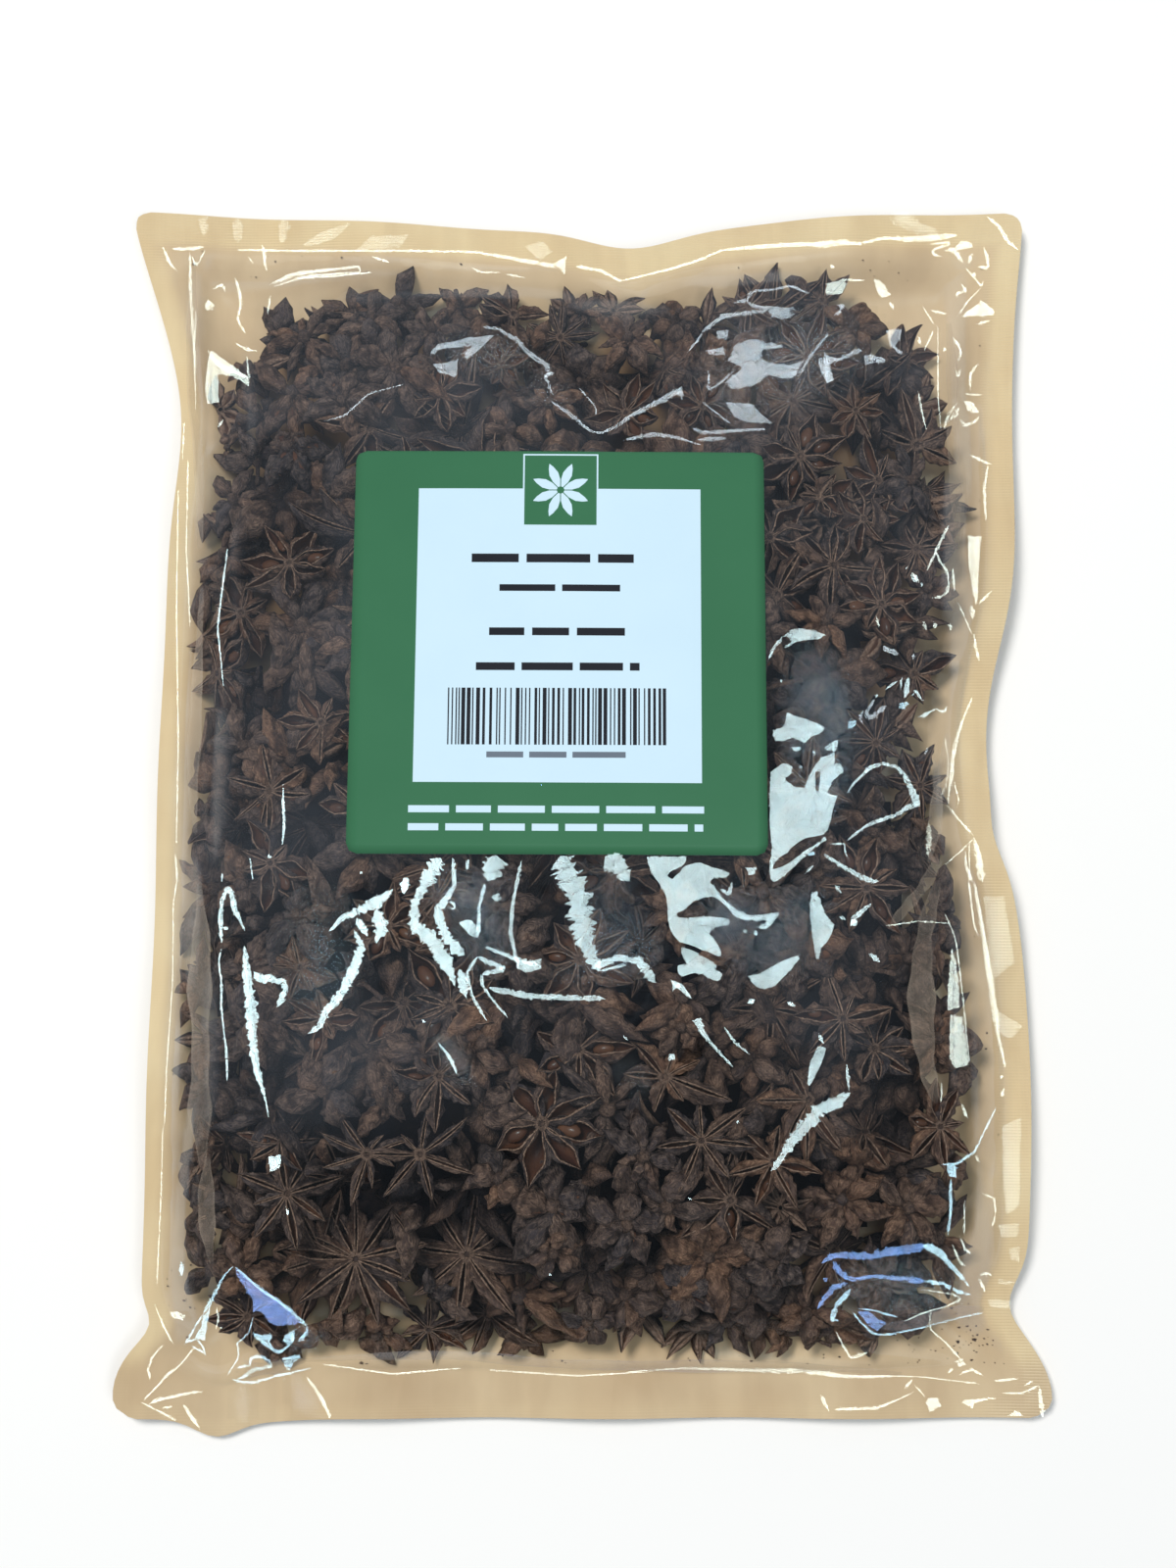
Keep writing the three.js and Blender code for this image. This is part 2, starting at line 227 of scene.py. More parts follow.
# Where the creased film lies level enough to mirror the panel: narrow runs as
# (pixel, pixel, width) and broader patches as outlines, in groups that each
# have a tint and a strength.
# Each tint is painted into the gloss of facets that all mirror the same panel: the colours of these reflections are
# painted
WHITE_GLINT, LILAC_GLINT, CREAM_GLINT = (0.93, 1.0, 1.0), (0.98, 0.95, 1.0), (1.0, 0.95, 0.84)
BLUE_GLINT, PALE_BLUE_GLINT, VEIL_BLUE = (0.33, 0.50, 1.0), (0.68, 0.88, 1.0), (0.66, 0.83, 1.0)
FLAT_BLUE_GLINT = (0.36, 0.48, 1.0)
GLINTS = [
    # below and beside the label
    (WHITE_GLINT, 1.0, [
        [(450, 876, 17), (438, 894, 15), (431, 907, 9), (422, 924, 7), (423, 945, 12), (438, 957, 15), (453, 978, 16), (460, 992, 8), (464, 1006, 3)],
        [(462, 876, 4), (464, 903, 4), (446, 931, 8), (455, 956, 10), (473, 975, 13)], [(469, 989, 6), (472, 1004, 10), (476, 1019, 4)],
        [(487, 976, 3), (476, 994, 3), (483, 1019, 3), (497, 1042, 2)], [(488, 977, 5), (515, 989, 5), (492, 994, 4), (492, 1005, 3), (504, 1022, 2.5), (518, 1038, 2)],
        [(494, 966, 3), (525, 978, 4), (550, 985, 5)], [(507, 873, 20), (503, 886, 20), (498, 899, 13)], [(495, 902, 4), (489, 925, 3), (488, 955, 4)],
        [(532, 879, 3), (523, 924, 4), (521, 952, 4), (529, 988, 3)], [(502, 915, 6), (512, 917, 9)], [(413, 896, 7), (412, 910, 8)], [(478, 877, 4), (476, 888, 3)],
        [(457, 920, 2), (464, 922, 2), (463, 928, 2), (458, 927, 2)],
        [(572, 874, 21), (579, 890, 25), (589, 912, 23), (593, 935, 23), (596, 956, 18), (605, 978, 12), (612, 991, 7)],
        [(607, 987, 8), (630, 977, 6), (652, 981, 8), (663, 995, 10), (669, 1003, 5)], [(612, 991, 3), (640, 984, 3)], [(618, 874, 19), (631, 884, 19), (642, 899, 8)],
        [(499, 1008, 5), (537, 1016, 6), (572, 1018, 5), (617, 1019, 5)], [(685, 1000, 5), (706, 1019, 3)],
        [(682, 1078, 6), (688, 1081, 5)], [(447, 1064, 1.5), (456, 1075, 3), (462, 1085, 4), (466, 1096, 2)], [(763, 1023, 4), (770, 1021, 4)], [(803, 1023, 4), (809, 1026, 4)],
        [(430, 1041, 3), (434, 1043, 3)], [(751, 1144, 2.5), (754, 1145, 2.5)], [(560, 1300, 2), (563, 1302, 2)], [(702, 1222, 2.5), (706, 1224, 2.5)],
        [(867, 1115, 6), (853, 1126, 12), (837, 1131, 12), (824, 1147, 14), (808, 1166, 10), (787, 1195, 4)], [(864, 1086, 3), (866, 1112, 3)],
        [(889, 922, 3), (872, 936, 6), (868, 945, 4)], [(887, 973, 5), (898, 982, 5)],
        [(761, 885, 5), (766, 889, 7), (772, 886, 7)], [(747, 900, 3), (744, 913, 4), (735, 907, 4)], [(758, 950, 5), (762, 951, 5)], [(769, 952, 5), (773, 953, 4)],
        [(852, 903, 4), (858, 911, 4)], [(856, 935, 3), (863, 939, 3)], [(868, 944, 6), (875, 939, 8)], [(763, 1024, 4), (770, 1020, 6)], [(804, 1024, 4), (812, 1026, 4)],
        [(706, 1041, 5), (713, 1043, 9), (715, 1051, 6), (724, 1063, 3), (735, 1075, 2.5), (748, 1089, 2)], [(739, 1048, 2), (750, 1064, 3), (765, 1076, 2)],
        [(835, 1054, 3), (840, 1065, 4)], [(683, 1076, 5), (689, 1081, 5)], [(636, 1057, 2), (641, 1062, 2.5)], [(784, 673, 2), (790, 660, 3), (798, 651, 4)],
        [(829, 766, 3), (832, 770, 3)], [(815, 783, 3), (819, 783, 3)], [(796, 695, 4), (798, 695, 4)], [(857, 730, 3), (859, 731, 3)],
        [(864, 810, 2), (870, 801, 2.5), (883, 788, 3), (890, 782, 4), (901, 779, 4), (914, 782, 3), (922, 790, 4), (929, 803, 5), (935, 816, 8), (938, 823, 5)],
        [(938, 821, 6), (927, 823, 5), (916, 831, 4), (901, 836, 4), (883, 843, 3), (864, 858, 1.5)], [(884, 782, 2), (884, 789, 3)],
        [(841, 872, 3), (855, 881, 4), (868, 889, 4), (883, 897, 5), (896, 900, 7)], [(847, 861, 2), (862, 861, 2), (862, 870, 2), (865, 874, 1.5)],
        [(927, 691, 4), (925, 701, 5), (923, 713, 5)], [(931, 710, 3), (935, 704, 2.5), (937, 710, 2.5), (942, 715, 2)], [(920, 691, 2.5), (919, 703, 2.5)],
        [(893, 709, 4), (896, 710, 3)], [(903, 704, 2), (912, 697, 2.5), (916, 695, 2)], [(937, 731, 3), (942, 731, 4), (948, 727, 3), (955, 723, 2)],
        [(955, 723, 2), (963, 727, 2.5), (966, 721, 2)], [(930, 587, 6), (936, 593, 7)], [(925, 579, 3), (926, 580, 3)], [(939, 596, 3), (942, 597, 3)],
        [(822, 891, 2), (830, 883, 3)],
    ], [
        [(527, 979), (540, 982), (552, 978), (552, 989), (538, 992), (527, 988)], [(468, 941), (478, 938), (488, 945), (488, 957), (478, 953)],
        [(660, 874), (700, 874), (700, 880), (695, 885), (685, 889), (681, 894), (686, 897), (692, 891), (699, 883), (714, 880), (724, 884), (734, 887), (745, 891), (743, 894), (728, 897), (725, 900), (731, 907), (735, 914), (744, 923), (750, 927), (761, 933), (772, 934), (783, 933), (795, 930), (794, 935), (790, 940), (783, 948), (777, 948), (774, 945), (782, 942), (781, 939), (763, 939), (750, 936), (745, 929), (737, 921), (730, 916), (721, 915), (710, 919), (701, 925), (700, 928), (690, 932), (693, 936), (699, 937), (717, 935), (726, 935), (739, 936), (744, 940), (744, 943), (735, 945), (726, 948), (724, 953), (728, 958), (734, 967), (736, 974), (734, 976), (724, 972), (717, 970), (708, 965), (699, 963), (692, 961), (686, 953), (683, 944), (681, 935), (681, 925), (679, 913), (674, 904), (668, 896), (663, 887)],
        [(695, 967), (706, 969), (717, 976), (725, 980), (731, 985), (730, 989), (737, 993), (736, 1000), (730, 1001), (724, 998), (717, 994), (709, 993), (703, 994), (699, 996), (692, 995), (691, 989), (692, 985), (701, 983), (695, 973)],
        [(685, 998), (686, 1005), (686, 1011), (695, 1007), (699, 1011), (706, 1020), (697, 1005), (695, 1003), (689, 1005)],
        [(828, 910), (834, 910), (838, 922), (844, 935), (851, 944), (849, 953), (844, 960), (838, 967), (836, 978), (833, 978), (830, 962), (827, 940), (826, 924)],
        [(763, 996), (774, 994), (786, 987), (797, 981), (808, 977), (814, 975), (816, 978), (808, 989), (799, 998), (792, 1005), (781, 1010), (774, 1008), (769, 1004)],
        [(835, 1067), (843, 1069), (841, 1078), (834, 1094), (826, 1109), (824, 1105), (826, 1085)],
        [(786, 788), (791, 784), (799, 779), (805, 780), (809, 782), (808, 787), (810, 789), (801, 793), (803, 797), (812, 803), (821, 804), (824, 796), (827, 789), (832, 780), (837, 774), (847, 770), (851, 768), (852, 774), (851, 781), (858, 779), (861, 787), (851, 795), (847, 803), (844, 809), (855, 812), (851, 820), (848, 835), (844, 848), (838, 852), (834, 853), (823, 855), (814, 860), (808, 864), (805, 869), (797, 874), (790, 881), (789, 887), (797, 885), (805, 881), (812, 875), (825, 866), (838, 857), (842, 854), (843, 857), (834, 864), (823, 872), (814, 881), (808, 887), (797, 896), (791, 900), (786, 897), (785, 885), (788, 864), (786, 853), (785, 820)],
        [(802, 727), (806, 727), (811, 731), (818, 732), (829, 736), (840, 741), (841, 744), (836, 749), (827, 752), (824, 755), (822, 759), (816, 756), (808, 752), (801, 756), (792, 756), (788, 750), (789, 745), (797, 743), (802, 738)],
        [(808, 762), (817, 762), (816, 765), (812, 768), (808, 765)], [(842, 763), (849, 757), (856, 754), (854, 762), (851, 769), (849, 765), (844, 766)],
        [(797, 651), (808, 642), (818, 641), (831, 643), (842, 648), (836, 652), (825, 653), (814, 654), (803, 661), (799, 661), (808, 655), (803, 649)],
    ]),
    # left of the middle
    (WHITE_GLINT, 1.1, [
        [(227, 891, 2), (226, 901, 2)], [(233, 904, 5), (226, 921, 4), (225, 942, 5), (226, 962, 2)], [(234, 905, 6), (240, 929, 5), (250, 950, 1.5)],
        [(228, 946, 5), (233, 948, 2)], [(226, 968, 2), (223, 982, 1.5), (226, 1003, 2.5), (226, 1029, 2), (229, 1056, 1.5), (231, 1072, 3), (232, 1103, 1.5)],
        [(249, 964, 2), (252, 991, 8), (255, 1013, 10), (257, 1029, 12), (257, 1044, 10), (258, 1064, 8), (260, 1084, 8), (265, 1101, 5), (271, 1123, 2), (274, 1140, 1)],
        [(259, 991, 4), (265, 1000, 10), (276, 998, 9), (283, 1001, 5), (290, 1000, 5), (291, 1011, 5), (287, 1020, 6), (283, 1028, 4)],
        [(401, 907, 2), (387, 919, 11), (371, 927, 9), (350, 936, 5), (336, 950, 3)], [(383, 928, 8), (389, 944, 14), (384, 962, 6)], [(364, 937, 8), (375, 955, 7)],
        [(361, 949, 3), (369, 966, 8), (362, 986, 10), (354, 1003, 9), (344, 1020, 9), (334, 1030, 8), (326, 1047, 6), (314, 1055, 1.5)],
        [(367, 890, 3), (370, 891, 2)], [(274, 872, 4), (276, 876, 2)], [(255, 876, 1.5), (258, 898, 1)], [(289, 800, 1), (289, 822, 3), (290, 846, 3), (288, 862, 1)],
        [(292, 1232, 2), (294, 1240, 3)], [(232, 560, 1.5), (222, 640, 2), (228, 700, 1)],
    ], [
        [(274, 1180), (287, 1178), (286, 1190), (276, 1196)], [(412, 896), (417, 896), (418, 903), (413, 912), (409, 908)],
    ]),
    # above the label, dimmer and a little lilac
    (LILAC_GLINT, 0.46, [
        [(892, 714, 3), (883, 729, 4), (888, 733, 5), (901, 723, 4), (905, 720, 3)], [(881, 725, 3), (877, 733, 3), (881, 738, 2)], [(932, 666, 3), (932, 673, 3)],
        [(946, 762, 2.5), (944, 770, 3)],
        [(493, 334, 2), (507, 335, 3), (527, 347, 4), (541, 362, 5), (556, 371, 5), (563, 383, 5), (556, 382, 3), (563, 401, 3)],
        [(562, 409, 3), (586, 426, 4), (602, 440, 2.5), (614, 442, 2.5), (628, 436, 3), (644, 424, 4), (672, 410, 5), (694, 398, 7), (696, 408, 2)],
        [(591, 396, 1.5), (608, 415, 2), (608, 426, 1)], [(748, 309, 2), (762, 306, 4), (768, 297, 3), (785, 296, 2), (807, 292, 3), (827, 300, 2)],
        [(762, 307, 5), (768, 313, 4), (788, 314, 3), (813, 316, 3)], [(716, 339, 3), (737, 323, 5), (757, 320, 4), (785, 317, 3)],
        [(702, 359, 1.5), (710, 349, 3), (717, 340, 3)], [(846, 339, 2), (824, 367, 3), (818, 379, 3), (804, 383, 2)],
        [(723, 379, 2), (723, 398, 2.5), (735, 391, 2), (748, 379, 1.5)], [(717, 410, 1.5), (737, 426, 1.5), (745, 432, 1.5)],
        [(706, 436, 3), (717, 442, 4), (751, 439, 3), (782, 438, 2.5)], [(636, 449, 2), (667, 443, 4), (689, 446, 2.5), (715, 454, 1.5)], [(712, 449, 4), (740, 447, 4)],
        [(854, 311, 3), (860, 312, 4), (858, 318, 3), (850, 322, 3)], [(330, 430, 1), (352, 424, 2), (376, 402, 2), (412, 392, 1)],
    ], [
[(900, 658), (905, 660), (914, 663), (917, 667), (914, 669), (907, 666), (902, 665)],
        [(438, 363), (445, 352), (476, 345), (504, 342), (490, 356), (476, 367), (473, 360), (485, 352), (451, 356)], [(442, 372), (468, 367), (465, 385), (448, 380)],
        [(785, 316), (800, 316), (812, 320), (800, 326), (787, 324)], [(731, 338), (743, 336), (742, 346), (733, 346)], [(720, 358), (738, 354), (740, 362), (724, 362)],
        [(751, 351), (768, 346), (793, 351), (800, 354), (778, 357), (776, 366), (786, 371), (806, 373), (821, 367), (810, 384), (799, 387), (785, 382), (771, 393),
         (748, 397), (740, 390), (757, 376), (743, 367)],
        [(835, 365), (849, 367), (860, 365), (844, 373), (849, 387), (845, 391), (838, 381)], [(740, 410), (751, 412), (768, 412), (774, 421), (790, 432), (762, 431), (748, 424)],
        [(904, 337), (920, 335), (919, 346), (914, 353), (922, 361), (917, 361), (907, 350)], [(881, 362), (890, 362), (905, 366), (901, 371), (892, 370), (883, 373)],
        [(840, 361), (855, 366), (877, 355), (879, 359), (857, 368), (846, 367), (851, 388), (843, 390)],
    ]),
    # the empty film at the top, over the tan back
    (CREAM_GLINT, 0.8, [
        [(242, 255, 1.5), (300, 256, 2), (420, 256, 2), (484, 257, 2), (513, 262, 3), (546, 268, 4), (570, 272, 5)],
        [(588, 272, 4), (613, 276, 3), (633, 287, 2), (658, 281, 2), (689, 273, 2.5), (717, 264, 2.5), (737, 255, 2), (785, 251, 5), (820, 249, 4), (840, 250, 6), (858, 247, 6),
         (876, 249, 3), (901, 243, 3), (925, 244, 5), (946, 243, 6), (965, 241, 5), (977, 240, 3)],
        [(482, 273, 1.5), (490, 278, 2), (510, 278, 1.5)], [(517, 280, 2.5), (535, 283, 2)], [(951, 249, 1.5), (970, 247, 2), (969, 250, 1.5), (953, 254, 2.5), (951, 259, 2.5), (960, 262, 2)],
        [(964, 256, 4), (974, 255, 5), (978, 262, 4), (983, 268, 3)], [(988, 269, 4), (992, 259, 4)], [(1004, 252, 2.5), (1008, 266, 3), (1008, 274, 3), (998, 272, 3)],
        [(986, 274, 1.5), (1002, 293, 2), (1003, 287, 1.5)], [(992, 278, 4), (996, 282, 3)], [(981, 290, 3), (986, 297, 4), (975, 300, 2), (977, 304, 2.5)],
        [(1001, 294, 1.5), (986, 309, 1.5), (977, 323, 1.2)], [(996, 331, 3), (1010, 327, 2)], [(1006, 220, 2), (1019, 230, 3), (1028, 246, 3.5), (1039, 255, 2)],
        [(862, 285, 3), (870, 286, 2.5), (882, 286, 1.5)], [(847, 271, 4), (851, 273, 3)], [(908, 308, 3), (912, 316, 4)], [(972, 344, 4), (979, 354, 2), (981, 362, 2), (977, 368, 3)],
        [(962, 355, 5), (966, 357, 4)], [(974, 375, 2), (977, 385, 3), (980, 377, 1.5)], [(998, 371, 2), (990, 382, 2.5), (990, 397, 2)], [(943, 358, 1.5), (952, 338, 2)],
        [(942, 313, 1.2), (952, 330, 1.5)], [(950, 317, 3), (958, 319, 3.5), (966, 320, 2.5)], [(937, 343, 3), (939, 352, 2)], [(957, 334, 1), (957, 400, 1.3), (960, 438, 1)],
        [(937, 399, 1.5), (939, 412, 2), (945, 438, 1.5)], [(963, 438, 3), (969, 421, 2.5), (977, 411, 2)], [(980, 428, 2), (984, 434, 3), (993, 432, 3), (999, 425, 2)], [(984, 402, 1.5), (1001, 403, 2)],
        # top left
        [(196, 262, 2), (200, 272, 2), (210, 254, 1.5)], [(166, 252, 2), (173, 268, 3), (180, 276, 1.5)], [(194, 258, 2), (194, 290, 3), (197, 340, 3), (200, 380, 1)],
        [(218, 295, 2), (227, 290, 3), (230, 298, 1.5)], [(240, 284, 2), (244, 296, 3), (246, 312, 2.5), (242, 326, 1.5), (250, 340, 2)], [(268, 250, 3), (272, 276, 2)],
        [(276, 302, 2), (273, 320, 3)], [(240, 350, 1.5), (250, 356, 3), (262, 358, 2)], [(276, 290, 1.5), (300, 280, 5), (330, 276, 3), (366, 272, 3), (368, 278, 1.5), (316, 281, 2), (280, 292, 1)],
        [(300, 284, 2), (340, 282, 2), (380, 278, 1.5)], [(380, 262, 2), (398, 268, 3)], [(212, 358, 2), (222, 372, 3), (254, 386, 3), (252, 364, 1)], [(228, 428, 3), (222, 436, 3)],
        [(200, 318, 1.5), (198, 360, 2), (200, 420, 1)], [(188, 430, 2), (186, 470, 1)], [(253, 262, 2), (258, 268, 1)], [(176, 254, 3), (196, 254, 3), (208, 252, 4)],
    ], [
        [(566, 268), (578, 262), (576, 280)], [(975, 252), (981, 246), (992, 248), (992, 253), (976, 255)], [(981, 323), (992, 314), (1002, 306), (1014, 317), (1014, 321), (1007, 322)],
        [(843, 290), (862, 284), (864, 290), (858, 300), (843, 301)], [(892, 284), (899, 287), (905, 295), (909, 301), (900, 304), (895, 297)],
        [(969, 427), (975, 418), (979, 416), (977, 424), (971, 429)], [(984, 409), (993, 411), (999, 421), (992, 422), (987, 418)],
        [(209, 312), (212, 305), (219, 311), (217, 317), (211, 316)], [(212, 366), (216, 358), (236, 372), (254, 386), (254, 394), (238, 384), (222, 382), (224, 410), (212, 412), (209, 396)],
    ]),
    # the empty film at the right and left
    (CREAM_GLINT, 0.75, [
        [(989, 464, 2), (1002, 470, 3), (1012, 474, 2)], [(1008, 476, 2), (1004, 500, 3), (1006, 530, 2)], [(946, 582, 2), (958, 556, 3), (968, 536, 2)],
        [(930, 584, 4), (938, 594, 3)],         [(989, 860, 1), (989, 905, 2), (994, 945, 2), (999, 955, 1)], [(994, 900, 3), (1002, 945, 4), (1011, 1000, 6), (1016, 1039, 5), (1020, 1064, 3), (1026, 1089, 2)],
        [(964, 932, 1), (975, 957, 1.5), (981, 1004, 1.5), (989, 1084, 1.5)], [(904, 945, 1.5), (936, 940, 1.5), (969, 942, 1.2)], [(1021, 1097, 4), (1023, 1100, 3)], [(1024, 1111, 4), (1022, 1120, 2)],
        [(981, 1126, 4), (987, 1141, 4)], [(994, 1176, 2), (999, 1186, 2)], [(1002, 1218, 1.5), (1014, 1222, 2), (1016, 1238, 1.5)], [(961, 1105, 2), (960, 1126, 1.5)],
        [(972, 1270, 2), (979, 1288, 2.5), (986, 1292, 3.5)], [(979, 1261, 2), (986, 1276, 3), (993, 1280, 3)], [(984, 1225, 1), (984, 1260, 2)], [(1012, 1252, 2), (1016, 1240, 1.5)],
        [(999, 1302, 2), (1006, 1299, 3), (1012, 1301, 2.5)], [(999, 1303, 2), (1005, 1318, 3)],         [(179, 872, 1.5), (181, 897, 2), (177, 921, 1), (176, 1003, 1), (170, 1090, 1), (168, 1146, 1)], [(182, 500, 1), (180, 620, 1.2), (182, 760, 1.5), (180, 860, 1)],
        [(166, 1150, 1), (164, 1230, 1.2), (160, 1310, 1)], [(192, 470, 1.5), (190, 560, 1), (194, 640, 1.5)],
                                [(954, 560, 2), (959, 573, 2), (966, 582, 2.5), (968, 593, 2), (967, 603, 2.5), (961, 609, 2.5), (951, 610, 2)], [(992, 617, 5), (992, 632, 4)],
        [(972, 580, 3), (974, 603, 2)], [(977, 614, 1), (992, 647, 1.5)], [(994, 647, 2), (996, 662, 3), (999, 674, 3)], [(953, 635, 3), (955, 641, 4)],
        [(969, 636, 3), (970, 643, 3)], [(942, 634, 3), (945, 642, 4)], [(894, 629, 3), (897, 640, 3)],
        [(992, 712, 1.5), (983, 733, 2), (977, 751, 3), (973, 768, 4), (971, 790, 4), (968, 809, 2), (967, 822, 2)], [(967, 822, 2), (977, 835, 2), (992, 851, 2.5)],
        [(973, 796, 1.5), (978, 816, 1.5), (977, 825, 1)], [(963, 883, 1), (979, 870, 1.2), (994, 855, 1)], [(994, 855, 2), (998, 872, 6), (1002, 900, 8)],
        [(985, 870, 2), (986, 885, 3), (992, 900, 3)], [(964, 753, 1), (968, 777, 1.2), (966, 799, 1.2), (960, 814, 1)], [(998, 617, 2), (1005, 610, 2.5), (1012, 603, 2)],
        [(948, 840, 4), (948, 855, 5), (947, 874, 4)],
        [(168, 1371, 1), (156, 1384, 2), (151, 1396, 2), (153, 1407, 2.5)], [(199, 1374, 1), (182, 1395, 1.5), (170, 1403, 3), (163, 1412, 2), (147, 1428, 1)],
        [(187, 1433, 3), (195, 1445, 4), (204, 1458, 2)], [(152, 1433, 3), (161, 1428, 3), (173, 1426, 3), (190, 1422, 3), (206, 1420, 1.5)], [(166, 1437, 2.5), (176, 1435, 2.5)],
        [(144, 1431, 1.5), (164, 1441, 2), (187, 1453, 2.5), (211, 1470, 2)], [(221, 1334, 1.5), (223, 1346, 2), (220, 1357, 2)], [(225, 1355, 3), (227, 1355, 3)],
        [(313, 1405, 2), (325, 1422, 4), (335, 1441, 3), (339, 1452, 4)], [(158, 1331, 1), (167, 1353, 2), (176, 1371, 1.5)], [(289, 1406, 2), (290, 1408, 2)],
        # foot
        [(820, 1399, 5), (853, 1403, 4), (880, 1405, 3), (913, 1404, 2)], [(640, 1400, 1), (700, 1396, 2), (760, 1398, 3), (820, 1399, 5)], [(913, 1404, 1.5), (940, 1405, 1), (1000, 1412, 1)],
        [(923, 1348, 1.5), (941, 1340, 1.5), (966, 1333, 1.5), (981, 1326, 2.5), (974, 1321, 1.5), (941, 1316, 1.2)], [(949, 1333, 2), (949, 1356, 1.5), (966, 1371, 1.5), (979, 1386, 2.5)],
        [(967, 1401, 2), (973, 1396, 2.5)], [(979, 1403, 2), (991, 1397, 2.5), (1002, 1403, 3)], [(853, 1359, 1.5), (861, 1374, 2), (868, 1386, 2), (885, 1380, 4)],
        [(852, 1438, 3), (893, 1437, 3), (910, 1431, 2), (931, 1421, 1)], [(934, 1414, 1.5), (943, 1424, 2)], [(923, 1416, 4), (931, 1408, 2)], [(1060, 1414, 2), (1062, 1430, 4), (1064, 1446, 6)],
        [(1024, 1421, 1.5), (1042, 1422, 2), (1059, 1414, 2.5)], [(1014, 1409, 3), (1039, 1407, 2)], [(1045, 1414, 2.5), (1054, 1409, 1.5)], [(838, 1424, 4), (846, 1440, 2)],
        [(330, 1392, 1), (400, 1402, 2), (470, 1396, 1)], [(436, 1452, 1), (520, 1448, 2), (600, 1452, 1)], [(500, 1398, 1), (590, 1404, 1.5), (660, 1400, 1)],
    ], [
        [(971, 966), (974, 975), (978, 1000), (979, 1028), (967, 1031), (967, 1012)], [(970, 1035), (982, 1038), (985, 1060), (988, 1087), (975, 1090), (969, 1080), (969, 1050)],
        [(987, 547), (1002, 547), (1000, 560), (999, 582), (998, 603), (997, 619), (994, 610), (990, 588)],
        [(174, 1339), (180, 1338), (189, 1342), (187, 1347), (176, 1344)],
        [(974, 1389), (981, 1386), (986, 1393), (979, 1395)], [(943, 1426), (956, 1426), (961, 1434), (949, 1441)], [(979, 1429), (1016, 1426), (994, 1432), (993, 1437)],
        [(1037, 1439), (1044, 1445), (1026, 1446)],
    ]),
    # the seals' broad dull sheen
    (CREAM_GLINT, 0.24, [
        [(207, 214, 9), (208, 240, 8)], [(242, 222, 10), (243, 248, 9)], [(291, 224, 12), (288, 248, 9)], [(905, 218, 18), (935, 232, 14), (958, 240, 6)],
    ], [
        [(308, 250), (330, 236), (362, 226), (368, 226), (340, 244), (322, 250)], [(365, 254), (378, 241), (416, 240), (406, 254)],
        [(1004, 915), (1024, 915), (1036, 982), (1011, 1000)], [(1019, 1032), (1043, 1047), (1033, 1059), (1016, 1054)], [(1019, 1250), (1040, 1248), (1038, 1262), (1021, 1262)],
        [(1030, 1270), (1040, 1272), (1040, 1288), (1032, 1284)], [(1018, 1304), (1040, 1309), (1040, 1311), (1020, 1310)], [(1009, 1325), (1033, 1328), (1030, 1336), (1010, 1333)],
        [(1022, 1150), (1042, 1140), (1040, 1230), (1026, 1240)], [(536, 252), (552, 246), (570, 262), (552, 268)],
    ]),
    # the folds at the foot: the blue of their reflection of the panel is painted into the gloss
    (BLUE_GLINT, 0.62, [
        [(838, 1289, 4), (850, 1281, 5), (875, 1281, 7), (890, 1282, 6), (905, 1277, 8), (926, 1275, 9), (946, 1271, 7)],
        [(850, 1287, 6), (856, 1297, 6), (868, 1306, 4), (891, 1302, 3), (913, 1304, 4), (933, 1306, 6), (944, 1307, 5)], [(840, 1304, 4), (843, 1307, 6)],
        [(834, 1336, 3), (842, 1323, 5), (853, 1312, 6), (866, 1309, 2)], [(552, 800, 3), (556, 812, 4)],
    ], [
        
        [(875, 1338), (886, 1338), (896, 1346), (906, 1350), (895, 1358), (886, 1352)],
    ]),
    (FLAT_BLUE_GLINT, 0.60, [], [
        [(240, 1295), (250, 1302), (268, 1317), (281, 1324), (294, 1336), (307, 1350), (299, 1352), (285, 1353), (276, 1350), (269, 1340), (263, 1338), (258, 1339), (258, 1328), (250, 1315), (242, 1302)],
    ]),
    (PALE_BLUE_GLINT, 0.85, [
        [(942, 1271, 8), (955, 1275, 8), (964, 1284, 6), (970, 1292, 5), (979, 1300, 4), (989, 1313, 2.5)], [(944, 1307, 4), (963, 1310, 3), (977, 1318, 4), (991, 1321, 3)],
        [(868, 1315, 4), (853, 1333, 5), (848, 1347, 4), (856, 1347, 2)], [(870, 1338, 2), (878, 1349, 2), (891, 1361, 2), (906, 1362, 2), (936, 1356, 1.5), (986, 1343, 1.5), (1002, 1340, 1.5)],
        [(876, 1335, 1.5), (896, 1338, 1.5), (915, 1344, 2)], 
        [(238, 1292, 1), (230, 1300, 1.5), (223, 1312, 3), (220, 1319, 3), (213, 1331, 4), (208, 1340, 4)], [(208, 1340, 2), (201, 1350, 2), (195, 1362, 2), (189, 1371, 2)],
        [(189, 1371, 2), (195, 1367, 2), (202, 1367, 2), (207, 1374, 2), (210, 1383, 1.5)], [(195, 1373, 1.5), (204, 1378, 2), (210, 1382, 1.5)],
        [(240, 1293, 1.5), (251, 1303, 2.5), (268, 1317, 3), (282, 1326, 3), (295, 1336, 3), (314, 1354, 3)], [(313, 1354, 3), (313, 1360, 3), (307, 1367, 4), (304, 1369, 3)],
        [(255, 1393, 3), (255, 1387, 3), (263, 1383, 4), (271, 1386, 3), (278, 1393, 3), (268, 1396, 3), (258, 1397, 4), (251, 1404, 3), (242, 1407, 2)],
        [(242, 1396, 2), (249, 1394, 3), (255, 1393, 2)], [(237, 1407, 2), (244, 1410, 2.5), (259, 1411, 2.5), (276, 1406, 2), (285, 1403, 3), (302, 1400, 2), (316, 1396, 1.5)],
